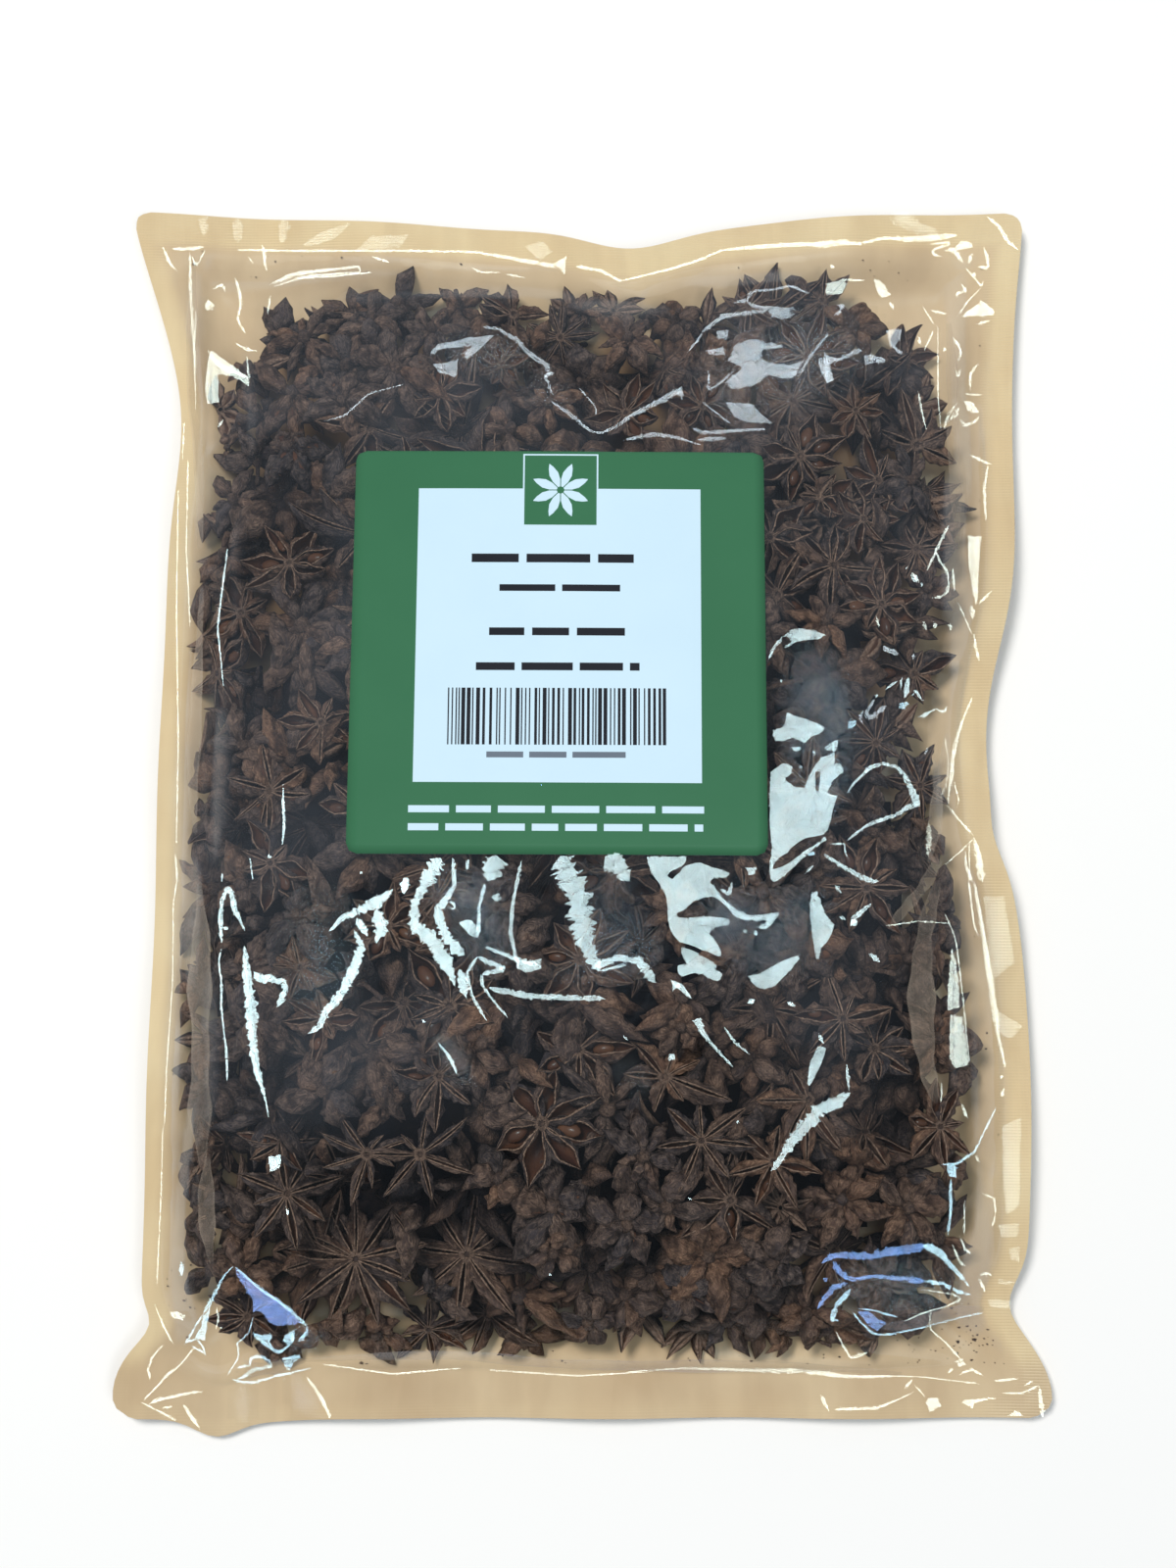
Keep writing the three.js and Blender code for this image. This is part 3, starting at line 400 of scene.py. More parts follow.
        [(233, 1402, 1), (244, 1384, 1), (242, 1371, 1.5), (254, 1360, 1.5), (258, 1345, 1)], [(185, 1287, 4), (186, 1295, 5), (185, 1302, 3)], [(300, 1357, 3), (298, 1371, 3)],
        [(1016, 1131, 1), (994, 1176, 2.5), (975, 1188, 3), (961, 1188, 1.5)],
        [(970, 1203, 3), (970, 1238, 3), (967, 1260, 2)],
    ], [
        [(865, 736), (874, 735), (873, 740), (869, 744), (866, 743)], [(917, 718), (925, 715), (927, 719), (922, 724), (917, 722)],
        [(824, 872), (831, 869), (832, 872), (825, 874)],
        [(257, 1360), (266, 1362), (276, 1361), (278, 1365), (275, 1369), (280, 1377), (287, 1377), (294, 1372), (288, 1369), (290, 1364), (299, 1357), (300, 1367), (295, 1374), (285, 1382), (278, 1379), (269, 1372), (261, 1365)],
        [(288, 1386), (295, 1384), (306, 1382), (306, 1386), (299, 1391), (296, 1398), (292, 1397), (290, 1391)],
        [(215, 1331), (214, 1340), (211, 1353), (209, 1367), (202, 1367), (199, 1365), (206, 1352), (207, 1343), (213, 1336)],
[(966, 1188), (976, 1190), (976, 1202), (968, 1200)],
    ]),
]
# thin veils of light round the glints: tint, strength, outline
VEILS = [
    (VEIL_BLUE, 0.10, [(428, 880), (520, 872), (532, 900), (527, 950), (548, 988), (500, 1012), (466, 992), (438, 958), (420, 920)]),
    (VEIL_BLUE, 0.09, [(556, 872), (640, 872), (664, 910), (690, 960), (675, 1004), (620, 1018), (560, 1024), (545, 1000), (580, 950)]),
    (VEIL_BLUE, 0.10, [(688, 900), (760, 878), (840, 884), (862, 920), (852, 980), (800, 1016), (740, 1008), (700, 965)]),
    (VEIL_BLUE, 0.12, [(788, 640), (846, 636), (880, 700), (884, 780), (856, 866), (804, 876), (788, 800)]),
    (LILAC_GLINT, 0.07, [(700, 330), (780, 296), (880, 298), (936, 350), (900, 396), (820, 446), (720, 456), (690, 400)]),
    (LILAC_GLINT, 0.06, [(425, 372), (440, 340), (500, 326), (562, 356), (610, 420), (560, 428), (490, 388)]),
    (LILAC_GLINT, 0.07, [(612, 1084), (648, 1072), (676, 1100), (662, 1130), (636, 1124)]),
    (LILAC_GLINT, 0.08, [(432, 1044), (462, 1050), (486, 1080), (492, 1110), (462, 1112), (440, 1080)]),
    (PALE_BLUE_GLINT, 0.07, [(300, 880), (380, 900), (400, 960), (360, 1040), (300, 1060), (262, 980)]),
    (LILAC_GLINT, 0.14, [(238, 1410), (259, 1412), (257, 1452), (237, 1452)]),
    (LILAC_GLINT, 0.15, [(292, 1402), (310, 1400), (334, 1444), (316, 1446), (296, 1446)]),
    (PALE_BLUE_GLINT, 0.07, [(300, 1340), (330, 1352), (340, 1376), (300, 1390), (276, 1380)]),
    (PALE_BLUE_GLINT, 0.09, [(838, 1290), (930, 1262), (990, 1310), (1000, 1345), (900, 1366), (840, 1340)]),
]
GLINT_HOLES = [[(832, 788), (837, 787), (837, 798), (835, 810), (832, 805)]]


def mirror_slope(p):
    """the slope of film at p that shows the lamp's middle to the camera"""
    a = EYE - p
    b = LAMP - p
    h = a / np.linalg.norm(a, axis=-1)[..., None] + b / np.linalg.norm(b, axis=-1)[..., None]
    return -h[..., 0] / h[..., 2], -h[..., 1] / h[..., 2]


def crease(x, y, x0, y0, x1, y1, width, height, lean=0.0, bow=0.0):
    """one fold line in the film: a soft ridge from one point to the other"""
    dx, dy = x1 - x0, y1 - y0
    length = math.hypot(dx, dy)
    dx, dy = dx / length, dy / length
    s = ((x - x0) * dx + (y - y0) * dy) / length
    t = -(x - x0) * dy + (y - y0) * dx - bow * length * np.sin(np.pi * np.clip(s, 0, 1))
    fade = smooth(np.clip(s / 0.25, 0, 1)) * smooth(np.clip((1 - s) / 0.25, 0, 1))
    w = width * np.where(t * lean > 0, 1 + abs(lean), 1.0)
    return height * fade / (1 + (t / w) ** 2) ** 1.5


def crumple():
    """wrinkles of the loose film over the lumpy filling"""
    rng = np.random.default_rng(20)
    z = 1.3 * value_noise(GX, GY, 26, 5) + 0.7 * value_noise(GX, GY, 13, 6)
    for k in range(150):
        x0, y0 = rng.uniform(-98, 98), rng.uniform(-135, 145)
        a = rng.uniform(0, 2 * math.pi)
        n = rng.uniform(9, 42)
        z += crease(GX, GY, x0, y0, x0 + n * math.cos(a), y0 + n * math.sin(a), rng.uniform(1.2, 3.6),
                    rng.choice([-1, 1]) * rng.uniform(0.2, 0.9), rng.uniform(-1, 1), rng.normal(0, 0.10))
    return z


def edge_puckers():
    """short folds that run in from the welded seals, and down the shoulders"""
    rng = np.random.default_rng(44)
    z = np.zeros_like(GX)
    for k in range(110):
        side = rng.choice(4, p=[0.26, 0.34, 0.2, 0.2])
        if side == 0:
            y0 = rng.uniform(-130, 145); x0 = edge_left(y0) + 3; a = rng.normal(0, 0.5)
        elif side == 1:
            y0 = rng.uniform(-130, 145); x0 = edge_right(y0) - 4; a = math.pi + rng.normal(0, 0.5)
        elif side == 2:
            x0 = rng.uniform(-100, 100); y0 = edge_top(x0) - 6; a = -math.pi / 2 + rng.normal(0, 0.5)
        else:
            x0 = rng.uniform(-100, 100); y0 = edge_bottom(x0) + 4; a = math.pi / 2 + rng.normal(0, 0.5)
        n = rng.uniform(10, 30)
        z += crease(GX, GY, x0, y0, x0 + n * math.cos(a), y0 + n * math.sin(a), rng.uniform(0.9, 2.4),
                    rng.choice([-1, 1], p=[0.35, 0.65]) * rng.uniform(0.3, 1.1), rng.uniform(-1, 1), rng.normal(0, 0.08))
    return z


def settle(z0, free, keep_off, rounds=45):
    """bends the film so that it nowhere mirrors the lamp"""
    mx, my = mirror_slope(np.stack([GX, GY, z0], -1))
    ny, nx = z0.shape
    lap = (2 - 2 * np.cos(2 * np.pi * np.fft.fftfreq(ny)))[:, None] + (2 - 2 * np.cos(2 * np.pi * np.fft.rfftfreq(nx)))[None]
    loose = (2 * np.pi * RES / 150) ** 2
    z = z0.copy()
    for k in range(rounds):
        gx, gy = (np.roll(z, -1, 1) - z) / RES, (np.roll(z, -1, 0) - z) / RES
        dx, dy = gx - mx, gy - my
        r = np.hypot(dx, dy) + 1e-6
        f = (np.where(r < keep_off, keep_off / r, 1.0) - 1) * free
        ex, ey = dx * f * RES, dy * f * RES
        div = ex - np.roll(ex, 1, 1) + ey - np.roll(ey, 1, 0)
        d = np.fft.irfft2(-np.fft.rfft2(div) / (lap + 1e-5), s=z.shape)
        z = z0 + (z + 1.5 * d * (free > 0) - z0) * smooth(free * 3)
        far = np.fft.rfft2(z - z0)
        z = z0 + np.fft.irfft2(far * lap / (lap + loose * 0.25), s=z.shape)
    return z


def make_front():
    base = front_base(GX, GY)
    d = np.minimum.reduce(inset(GX, GY))
    free = smooth(d / 9)                                  # welded seals stay flat
    off_label = smooth((label_outside(GX, GY) + 0.5) / 9)
    z = base + crumple() * free * lerp(0.10, 1.0, off_label) + edge_puckers() * smooth(d / 5) * off_label
    # the sheet is stiff: it bridges, it does not follow every pod
    z = blur(z, 1.2)
    loose = smooth((d + 1.0) / 3.0) * smooth((label_outside(GX, GY) - 0.2) / 1.6)
    keep = KEEP_OFF * lerp(0.45, 1.0, smooth((d - 2) / 16))
    z = settle(z, loose, keep)
    return z, free * off_label


FRONT, FREE = make_front()
BACK = back_base(GX, GY) + 0.25 * value_noise(GX, GY, 17, 9) * smooth(np.minimum.reduce(inset(GX, GY)) / 10) * 0.4
FRONT = np.maximum(FRONT, BACK + 0.2)



def lamp_free(x, y, z):
    """0 where a dome or a hollow of this grid of film is level enough to show the lamp as a stray dot, else 1"""
    nx, ny = np.gradient(z, axis=1) / np.gradient(x, axis=1), np.gradient(z, axis=0) / np.gradient(y, axis=0)
    mx, my = mirror_slope(np.stack([x, y, z], -1))
    shows = np.ones((z.shape[0] - 1, z.shape[1] - 1), bool)
    for e, half in ((nx - mx, 0.055), (ny - my, 0.050)):
        four = np.stack([e[:-1, :-1], e[1:, :-1], e[:-1, 1:], e[1:, 1:]])
        shows &= (four.min(0) < half) & (four.max(0) > -half)
    free = np.ones_like(z)
    for a, b in ((slice(None, -1), slice(None, -1)), (slice(1, None), slice(None, -1)), (slice(None, -1), slice(1, None)), (slice(1, None), slice(1, None))):
        free[a, b][shows] = 0.0
    return free


# =============================================================== star anise pods
# A pod is a whorl of boat-shaped carpels round a short column. Each carpel is a
# shell: wrinkled outside, with a pale split rim and a smooth inside.
# Vertex data: rim, inside, tone, and how far down a wrinkle it lies, which the husk material paints as shade.
def wobble(p, rng, octaves):
    out = np.zeros(len(p))
    for wl, amp in octaves:
        k = rng.normal(size=(3, 3))
        k /= np.linalg.norm(k, axis=1)[:, None]
        ph = rng.uniform(0, 6.28, 6)
        a = p @ k[0] * (6.283 / wl) + ph[0] + 1.7 * np.sin(p @ k[1] * (3.9 / wl) + ph[1])
        b = p @ k[1] * (6.283 / wl) + ph[2] + 1.5 * np.sin(p @ k[2] * (4.4 / wl) + ph[3])
        c = p @ k[2] * (6.283 / wl) + ph[4] + 1.6 * np.sin(p @ k[0] * (4.1 / wl) + ph[5])
        out += amp * (np.sin(a) * np.sin(b) + 0.6 * np.abs(np.sin(c)) - 0.38)
    return out


def carpel(rng, L, W, H, G, rise, hook, tone, ns, nq, ni, wrinkle=1.0):
    s = np.linspace(0, 1, ns + 1) ** 0.92
    wide = np.sin(np.pi * s ** rng.uniform(0.88, 1.08)) ** 0.85 * (1 - rng.uniform(0.25, 0.60) * smooth((s - 0.58) / 0.40))
    w = W * (0.16 * (1 - s) + 0.90 * wide) + 0.10
    g = G * np.sin(np.pi * s ** rng.uniform(0.8, 1.0)) ** 1.35
    ripple = rng.uniform(0, 6.28)
    if G > 0.6:
        g = g * (1 + 0.25 * np.sin(3.1 * np.pi * s + ripple))
    g = np.clip(g, 0, 0.80 * w)
    zr = 1.1 + rise * s * L + hook * s ** 5 - 0.5 * np.sin(np.pi * s) * (1 if G > 0.6 else 0.3)
    depth = np.maximum(H * (0.40 * (1 - s) ** 1.5 + 0.98 * np.sin(np.pi * (0.06 + 0.90 * s)) ** 0.8), 0.25)
    side = rng.normal(0, 0.075) * L * s ** 2
    x = 0.7 + (L - 0.7) * s
    q = (np.arange(nq + 1) / nq) ** 1.35
    qi = np.arange(ni + 1) / ni
    fine = nq > 3                                    # a close second line beside each rim keeps it thin
    if fine:
        q = np.insert(q, 1, 0.004)
        qi = np.insert(qi, 1, 0.04)
        nq, ni = nq + 1, ni + 1
    t_rim = 0.30 * min(1.0, 0.55 + W / 5)
    body = np.sin(np.pi * q ** 0.62) ** 0.80
    drop = np.sin(q * np.pi / 2) ** 1.15
    body_i = np.sin(np.pi * qi ** 0.62) ** 0.8
    drop_i = np.sin(qi * np.pi / 2) ** 1.15
    skew = rng.normal(0, 0.10)
    rows, attr, outside = [], [], []
    n_o, n_i = 2 * nq + 1, 2 * ni + 1
    n = n_o + n_i
    rim, ins, out = np.zeros(n), np.zeros(n), np.zeros(n)
    rim[[0, 2 * nq, n_o, n - 1]] = 1
    rim[[1, 2 * nq - 1]] = 0.10
    ins[n_o:] = 1
    ins[[n_o, n - 1]] = 0.55
    out[1:2 * nq] = 1
    out[[1, 2 * nq - 1]] = 0.5
    for i in range(ns + 1):
        taper = min(1.0, (1 - s[i]) * 6 + 0.15)
        y0 = g[i] + t_rim * taper
        yo = y0 * (1 - q) ** 1.6 + max(w[i] - y0 * 0.35, 0.02) * body
        zo = zr[i] - depth[i] * drop
        yi = g[i] * (1 - qi) ** 1.3 + max(w[i] - 0.45 * taper - g[i] * 0.35, 0.01) * body_i * 0.9
        zi = zr[i] - 0.06 - max(depth[i] - 0.6 * taper, 0.05) * drop_i
        k = 1.0 if i < ns else 0.25
        ly = np.concatenate([-yo, yo[::-1][1:], yi, -yi[::-1][1:]]) * k
        lz = np.concatenate([zo, zo[::-1][1:], zi, zi[::-1][1:]])
        ly = ly + side[i] + skew * (lz - zr[i])
        rows.append(np.stack([np.full(n, x[i]), ly, lz], 1))
        attr.append(np.stack([rim, ins, np.full(n, tone), out], 1))
        outside.append(out)
    V, A, O = np.concatenate(rows), np.concatenate(attr), np.concatenate(outside)
    c = np.repeat(np.stack([x, side, zr - 0.45 * depth], 1), n, 0)
    d = V - c
    d[:, 0] *= 0.2
    d /= np.linalg.norm(d, axis=1)[:, None] + 1e-9
    f = wobble(V, rng, [(5.2, 0.34), (2.6, 0.42), (1.5, 0.20)])
    V = V + d * (f * O * wrinkle * np.minimum(1, np.repeat(w, n) / 1.6))[:, None]
    A[:, 3] = np.clip(0.5 + 1.0 * f, 0, 1) * O
    A = np.concatenate([A, V * np.array([0.45, 1.0, 1.0]) + rng.uniform(-40, 40, 3)], 1)
    F = []
    for i in range(ns):
        a, b = i * n + np.arange(n), i * n + (np.arange(n) + 1) % n
        F.append(np.stack([a, b, b + n, a + n], 1))
    last = ns * n + np.arange(n)
    F.append(np.array([[last[j], last[j + 1], last[n - 2 - j], last[n - 1 - j]] for j in range(n // 2 - 1)]))
    return V, np.concatenate(F), A


def column(rng, r, detail, stalk):
    prof = [(0.02, 0.35), (0.30 * r, 0.55), (0.55 * r, 1.15), (0.95 * r, 1.05), (1.2 * r, 0.2), (1.1 * r, -1.6), (0.75 * r, -3.2)]
    if stalk > 0:
        prof += [(0.62, -3.8), (0.55, -4.2 - 0.5 * stalk), (0.66, -4.2 - stalk), (0.02, -4.3 - stalk)]
    else:
        prof += [(0.5 * r, -3.7), (0.02, -3.4)]
    n = (6, 8, 12)[detail]
    if detail == 0:
        prof = prof[2:]
    th = np.arange(n) * 2 * np.pi / n
    lean = rng.normal(0, 0.14, 2)
    V, A = [], []
    for k, (rr, z) in enumerate(prof):
        wob = 1 + 0.12 * np.sin(8 * th + 0.3) * (1 if z < 1.2 and rr > 0.5 * r else 0)
        off = lean * max(0, -z - 3.5) ** 1.2
        V.append(np.stack([rr * wob * np.cos(th) + off[0], rr * wob * np.sin(th) + off[1], np.full(n, z)], 1))
        a = np.zeros((n, 4))
        a[:, 0] = 0.62 if 1.0 < z < 1.3 else 0.0
        a[:, 2], a[:, 3] = 0.5, 0.45 if z < 0.9 else 0.3
        A.append(a)
    F = []
    for k in range(len(prof) - 1):
        a, b = k * n + np.arange(n), k * n + (np.arange(n) + 1) % n
        F.append(np.stack([b, a, a + n, b + n], 1))
    V, A = np.concatenate(V), np.concatenate(A)
    return V, np.concatenate(F), np.concatenate([A, V + rng.uniform(-40, 40, 3)], 1)


def seed_shape(n, m, s, tone):
    V = []
    for i in range(m + 1):
        ph = np.pi * i / m
        for j in range(n):
            th = 2 * np.pi * j / n
            V.append([3.1 * math.cos(ph), 2.05 * math.sin(ph) * math.cos(th), 1.15 * math.sin(ph) * math.sin(th)])
    V = np.array(V) * s
    V[:, 2] *= 1 - 0.2 * (V[:, 0] / 3.1 / s)
    F = []
    for i in range(m):
        a, b = i * n + np.arange(n), i * n + (np.arange(n) + 1) % n
        F.append(np.stack([a, b, b + n, a + n], 1))
    A = np.zeros((len(V), 7))
    A[:, 2], A[:, 4:] = tone, V
    return V, np.concatenate(F), A


def rot_z(a):
    c, s = math.cos(a), math.sin(a)
    return np.array([[c, -s, 0], [s, c, 0], [0, 0, 1.0]])


def rot_x(a):
    c, s = math.cos(a), math.sin(a)
    return np.array([[1.0, 0, 0], [0, c, -s], [0, s, c]])


def rot_y(a):
    c, s = math.cos(a), math.sin(a)
    return np.array([[c, 0, s], [0, 1.0, 0], [-s, 0, c]])


class Bits:
    """vertices, quads and vertex data gathered for one mesh"""

    def __init__(self):
        self.V, self.F, self.A, self.n = [], [], [], 0

    def add(self, V, F, A):
        self.V.append(V)
        self.F.append(F + self.n)
        self.A.append(A)
        self.n += len(V)

    def arrays(self):
        return np.concatenate(self.V), np.concatenate(self.F), np.concatenate(self.A)


DETAIL = {2: (11, 5, 2), 1: (7, 4, 1), 0: (5, 3, 1)}
WIDTHS = {"open": 0.205, "slit": 0.145, "thin": 0.098, "mixed": 0.170, "lump": 0.205, "stub": 0.195, "single": 0.19}


def make_pod(seed, R, kind, arms, detail, spin=None):
    """one pod, face up, centred on its column; the same seed gives the same pod at every detail"""
    rng = np.random.default_rng(seed)
    ns, nq, ni = DETAIL[detail]
    husk, seeds = Bits(), Bits()
    n = arms or int(rng.choice([6, 7, 8, 8, 8, 8, 8, 9]))
    base_tone, rise0, ang0 = rng.uniform(0.1, 0.9), rng.uniform(-0.06, 0.16), rng.uniform(0, 6.28)
    if spin is not None:
        ang0 = spin
    wrinkle = {"lump": 1.8, "stub": 1.4, "mixed": 1.15}.get(kind, 1.0)
    if kind == "single":
        n = int(rng.choice([1, 1, 2]))
    for k in range(n):
        r = np.random.default_rng(seed * 977 + k)
        a = ang0 + (2 * np.pi * k / n if kind != "single" else 0.8 * k) + r.normal(0, 0.09 if arms else 0.15)
        if not arms and kind != "single" and r.uniform() < 0.10:
            continue                                 # broken off
        u, v = r.uniform(), r.uniform()
        gap = {"open": r.uniform(0.45, 0.72), "slit": r.uniform(0.04, 0.24), "thin": r.uniform(0.03, 0.20),
               "lump": r.uniform(0.0, 0.4), "stub": r.uniform(0.02, 0.3), "single": r.uniform(0.05, 0.6),
               "mixed": r.uniform(0.4, 0.7) if u < 0.35 else r.uniform(0.04, 0.30)}[kind]
        small = v < {"lump": 0.45, "single": 0.0}.get(kind, 0.13)
        ll = R * (r.uniform(0.45, 0.72) if small else r.uniform(0.80, 1.08) if arms else r.uniform(0.66, 1.10))
        if kind == "stub":
            ll *= 0.86
        ww = WIDTHS[kind] * R * r.uniform(0.82, 1.15) * (0.62 if small else 1)
        if small:
            gap *= 0.3
        hh = ww * (r.uniform(1.9, 2.8) if kind == "thin" else r.uniform(1.5, 2.2))
        hh = min(hh, 0.50 * R)
        roll = r.normal(0, 0.16 if arms else 0.32 if kind != "lump" else 0.6)
        fill, px, rx, ry = r.uniform(), r.uniform(0.42, 0.56), r.normal(0, 0.25), r.normal(0, 0.10)
        V, F, A = carpel(r, ll, ww, hh, gap * ww, rise0 + r.normal(0, 0.07 if arms else 0.13), r.uniform(0.0, 0.13) * R,
                         float(np.clip(base_tone + r.normal(0, 0.24), 0, 1)), ns, nq, ni, wrinkle)
        M = rot_z(a) @ rot_x(roll)
        husk.add(V @ M.T, F, A)
        if gap > 0.42 and detail > 0 and fill < 0.42:
            n1, m1 = (10, 6) if detail > 1 else (6, 4)
            Vs, Fs, As = seed_shape(n1, m1, min(0.95, 0.30 * ww), fill / 0.42)
            Vs = Vs @ rot_x(rx).T @ rot_y(ry).T + np.array([ll * px, 0, -0.28 * hh + 0.5])
            seeds.add(Vs @ M.T, Fs, As)
    stalk = rng.uniform(3, 10) if rng.uniform() < 0.3 else 0
    if kind != "single":
        husk.add(*column(rng, min(2.0, 0.105 * R + 0.2), detail, stalk))
    else:                                            # turned about its own middle
        back = np.array([0.5 * R * math.cos(ang0), 0.5 * R * math.sin(ang0), -0.1 * R])
        husk.V = [v - back for v in husk.V]
        seeds.V = [v - back for v in seeds.V]
    return husk, seeds


def pose_matrix(face, tilt, toward, spin):
    """face 1 shows the open side, -1 the back; it leans by tilt towards a plan direction"""
    M = rot_z(spin)
    if face < 0:
        M = rot_x(math.pi) @ M
    return rot_z(toward) @ rot_y(tilt) @ rot_z(-toward) @ M


# The pods that show best: pixel of the middle, arm length in pixels, kind,
# number of arms, face, lean in degrees and the plan direction it leans to.
SHOWN = [
    (359, 1289, 78, "slit", 11, 1, 6, 250), (474, 1285, 84, "slit", 8, 1, 8, 80), (553, 1146, 64, "open", 8, 1, 6, 200),
    (374, 1178, 54, "thin", 8, 1, 8, 30), (429, 1178, 58, "thin", 7, 1, 10, 120), (290, 1220, 62, "slit", 8, 1, 8, 60),
    (590, 1072, 58, "open", 7, 1, 12, 40), (716, 1165, 56, "slit", 7, 1, 18, 90), (592, 978, 56, "open", 7, 1, 8, 260),
    (825, 359, 56, "open", 8, 1, 6, 120), (817, 463, 54, "open", 8, 1, 10, 330), (896, 489, 46, "open", 7, 1, 14, 30),
    (787, 545, 56, "open", 7, 1, 14, 240), (899, 616, 52, "open", 8, 1, 10, 20), (901, 645, 48, "mixed", 6, 1, 30, 90),
    (935, 684, 55, "open", 7, 1, 16, 350), (896, 755, 46, "mixed", 7, 1, 14, 270), (842, 635, 42, "mixed", 7, -1, 20, 60),
    (310, 343, 52, "thin", 8, -1, 12, 100), (349, 408, 50, "mixed", 8, -1, 8, 210), (449, 397, 46, "open", 8, 1, 8, 150),
    (263, 417, 42, "lump", 5, -1, 20, 180), (294, 455, 50, "lump", 6, -1, 14, 230), (239, 509, 46, "mixed", 7, -1, 16, 160),
    (378, 323, 46, "mixed", 6, -1, 24, 90), (467, 302, 36, "mixed", 6, -1, 20, 80), (511, 369, 30, "open", 8, 1, 8, 0),
    (572, 336, 44, "thin", 9, 1, 10, 200), (717, 410, 42, "open", 6, 1, 22, 300), (873, 417, 36, "mixed", 7, 1, 16, 10),
    (928, 490, 42, "mixed", 7, -1, 20, 20), (881, 527, 42, "open", 7, 1, 20, 340), (244, 622, 56, "open", 8, 1, 12, 170),
    (294, 573, 50, "open", 7, 1, 22, 120), (327, 737, 46, "mixed", 7, 1, 18, 30), (276, 880, 50, "open", 7, 1, 14, 200),
    (389, 1127, 50, "stub", 7, -1, 14, 60), (284, 1169, 46, "mixed", 7, 1, 22, 90), (638, 1252, 60, "stub", 7, -1, 10, 20),
    (564, 1275, 46, "stub", 6, -1, 22, 280), (861, 1226, 52, "mixed", 8, -1, 10, 130), (926, 1234, 56, "mixed", 8, -1, 12, 20),
    (896, 1308, 46, "mixed", 7, -1, 16, 260), (790, 1288, 58, "stub", 6, -1, 20, 250), (700, 1320, 50, "stub", 7, -1, 16, 200),
    (246, 1300, 50, "mixed", 7, -1, 20, 190), (205, 1235, 44, "mixed", 7, -1, 26, 180), (860, 1040, 54, "mixed", 7, 1, 14, 45),
    (770, 1080, 56, "stub", 7, -1, 16, 160), (655, 1180, 50, "mixed", 7, -1, 18, 10), (480, 1075, 50, "stub", 7, -1, 14, 110),
    (330, 1040, 52, "mixed", 7, 1, 20, 160), (255, 990, 50, "mixed", 8, -1, 14, 200), (395, 945, 48, "open", 7, 1, 18, 40),
    (505, 925, 50, "mixed", 7, -1, 12, 300), (690, 930, 52, "stub", 7, -1, 16, 20), (885, 905, 56, "mixed", 8, 1, 12, 330),
    (825, 800, 52, "mixed", 7, 1, 16, 290), (940, 800, 46, "mixed", 7, 1, 18, 0), (250, 760, 48, "mixed", 7, -1, 18, 190),
    (640, 345, 44, "mixed", 7, -1, 18, 60), (690, 320, 44, "stub", 6, -1, 24, 80), (765, 310, 46, "mixed", 7, 1, 22, 90),
    (927, 359, 48, "mixed", 7, 1, 48, 340), (640, 420, 46, "open", 7, 1, 20, 150), (560, 410, 42, "mixed", 7, -1, 16, 250),
    (440, 335, 40, "mixed", 7, -1, 16, 90), (960, 1150, 50, "mixed", 7, 1, 20, 0), (955, 1060, 46, "mixed", 7, -1, 20, 10),
    (790, 1185, 50, "mixed", 7, 1, 18, 220), (435, 1360, 44, "mixed", 7, 1, 26, 270), (600, 1350, 46, "stub", 6, -1, 22, 270),
]

RIM_TOP = [(-98, 84), (-94, 112), (-80, 129), (-66, 137), (-40, 139), (-10, 136), (15, 134), (45, 140), (60, 139), (74, 130), (88, 118), (93, 100)]
SIDE_GAP_L, SIDE_GAP_R = 6.5, 13.0


def filled_area():
    """where pods lie: inside the seals, ragged, with the corners left empty"""
    ins = inset(GX, GY)
    n1 = 3.2 * value_noise(GX, GY, 15, 77) + 2.0 * value_noise(GX, GY, 7, 78)
    left, right = ins[0] - 2.0, ins[1] - 8.5
    top = np.interp(GX, [p[0] for p in RIM_TOP], [p[1] for p in RIM_TOP]) + 2.0 - GY
    bottom = GY + 134.5
    d = np.minimum.reduce([left, right, top, bottom])
    for cx, cy, sx, sy, r in ((-66, -104, -1, -1, 30), (58, -100, 1, -1, 32), (-74, 112, -1, 1, 24), (70, 112, 1, 1, 22)):
        qx, qy = (GX - cx) * sx, (GY - cy) * sy
        d = np.where((qx > 0) & (qy > 0), np.minimum(d, r + 2 - np.hypot(qx, qy)), d)
    return d + n1


AREA = filled_area()


SINK = 3.6                                           # how far a pod may press into the one above


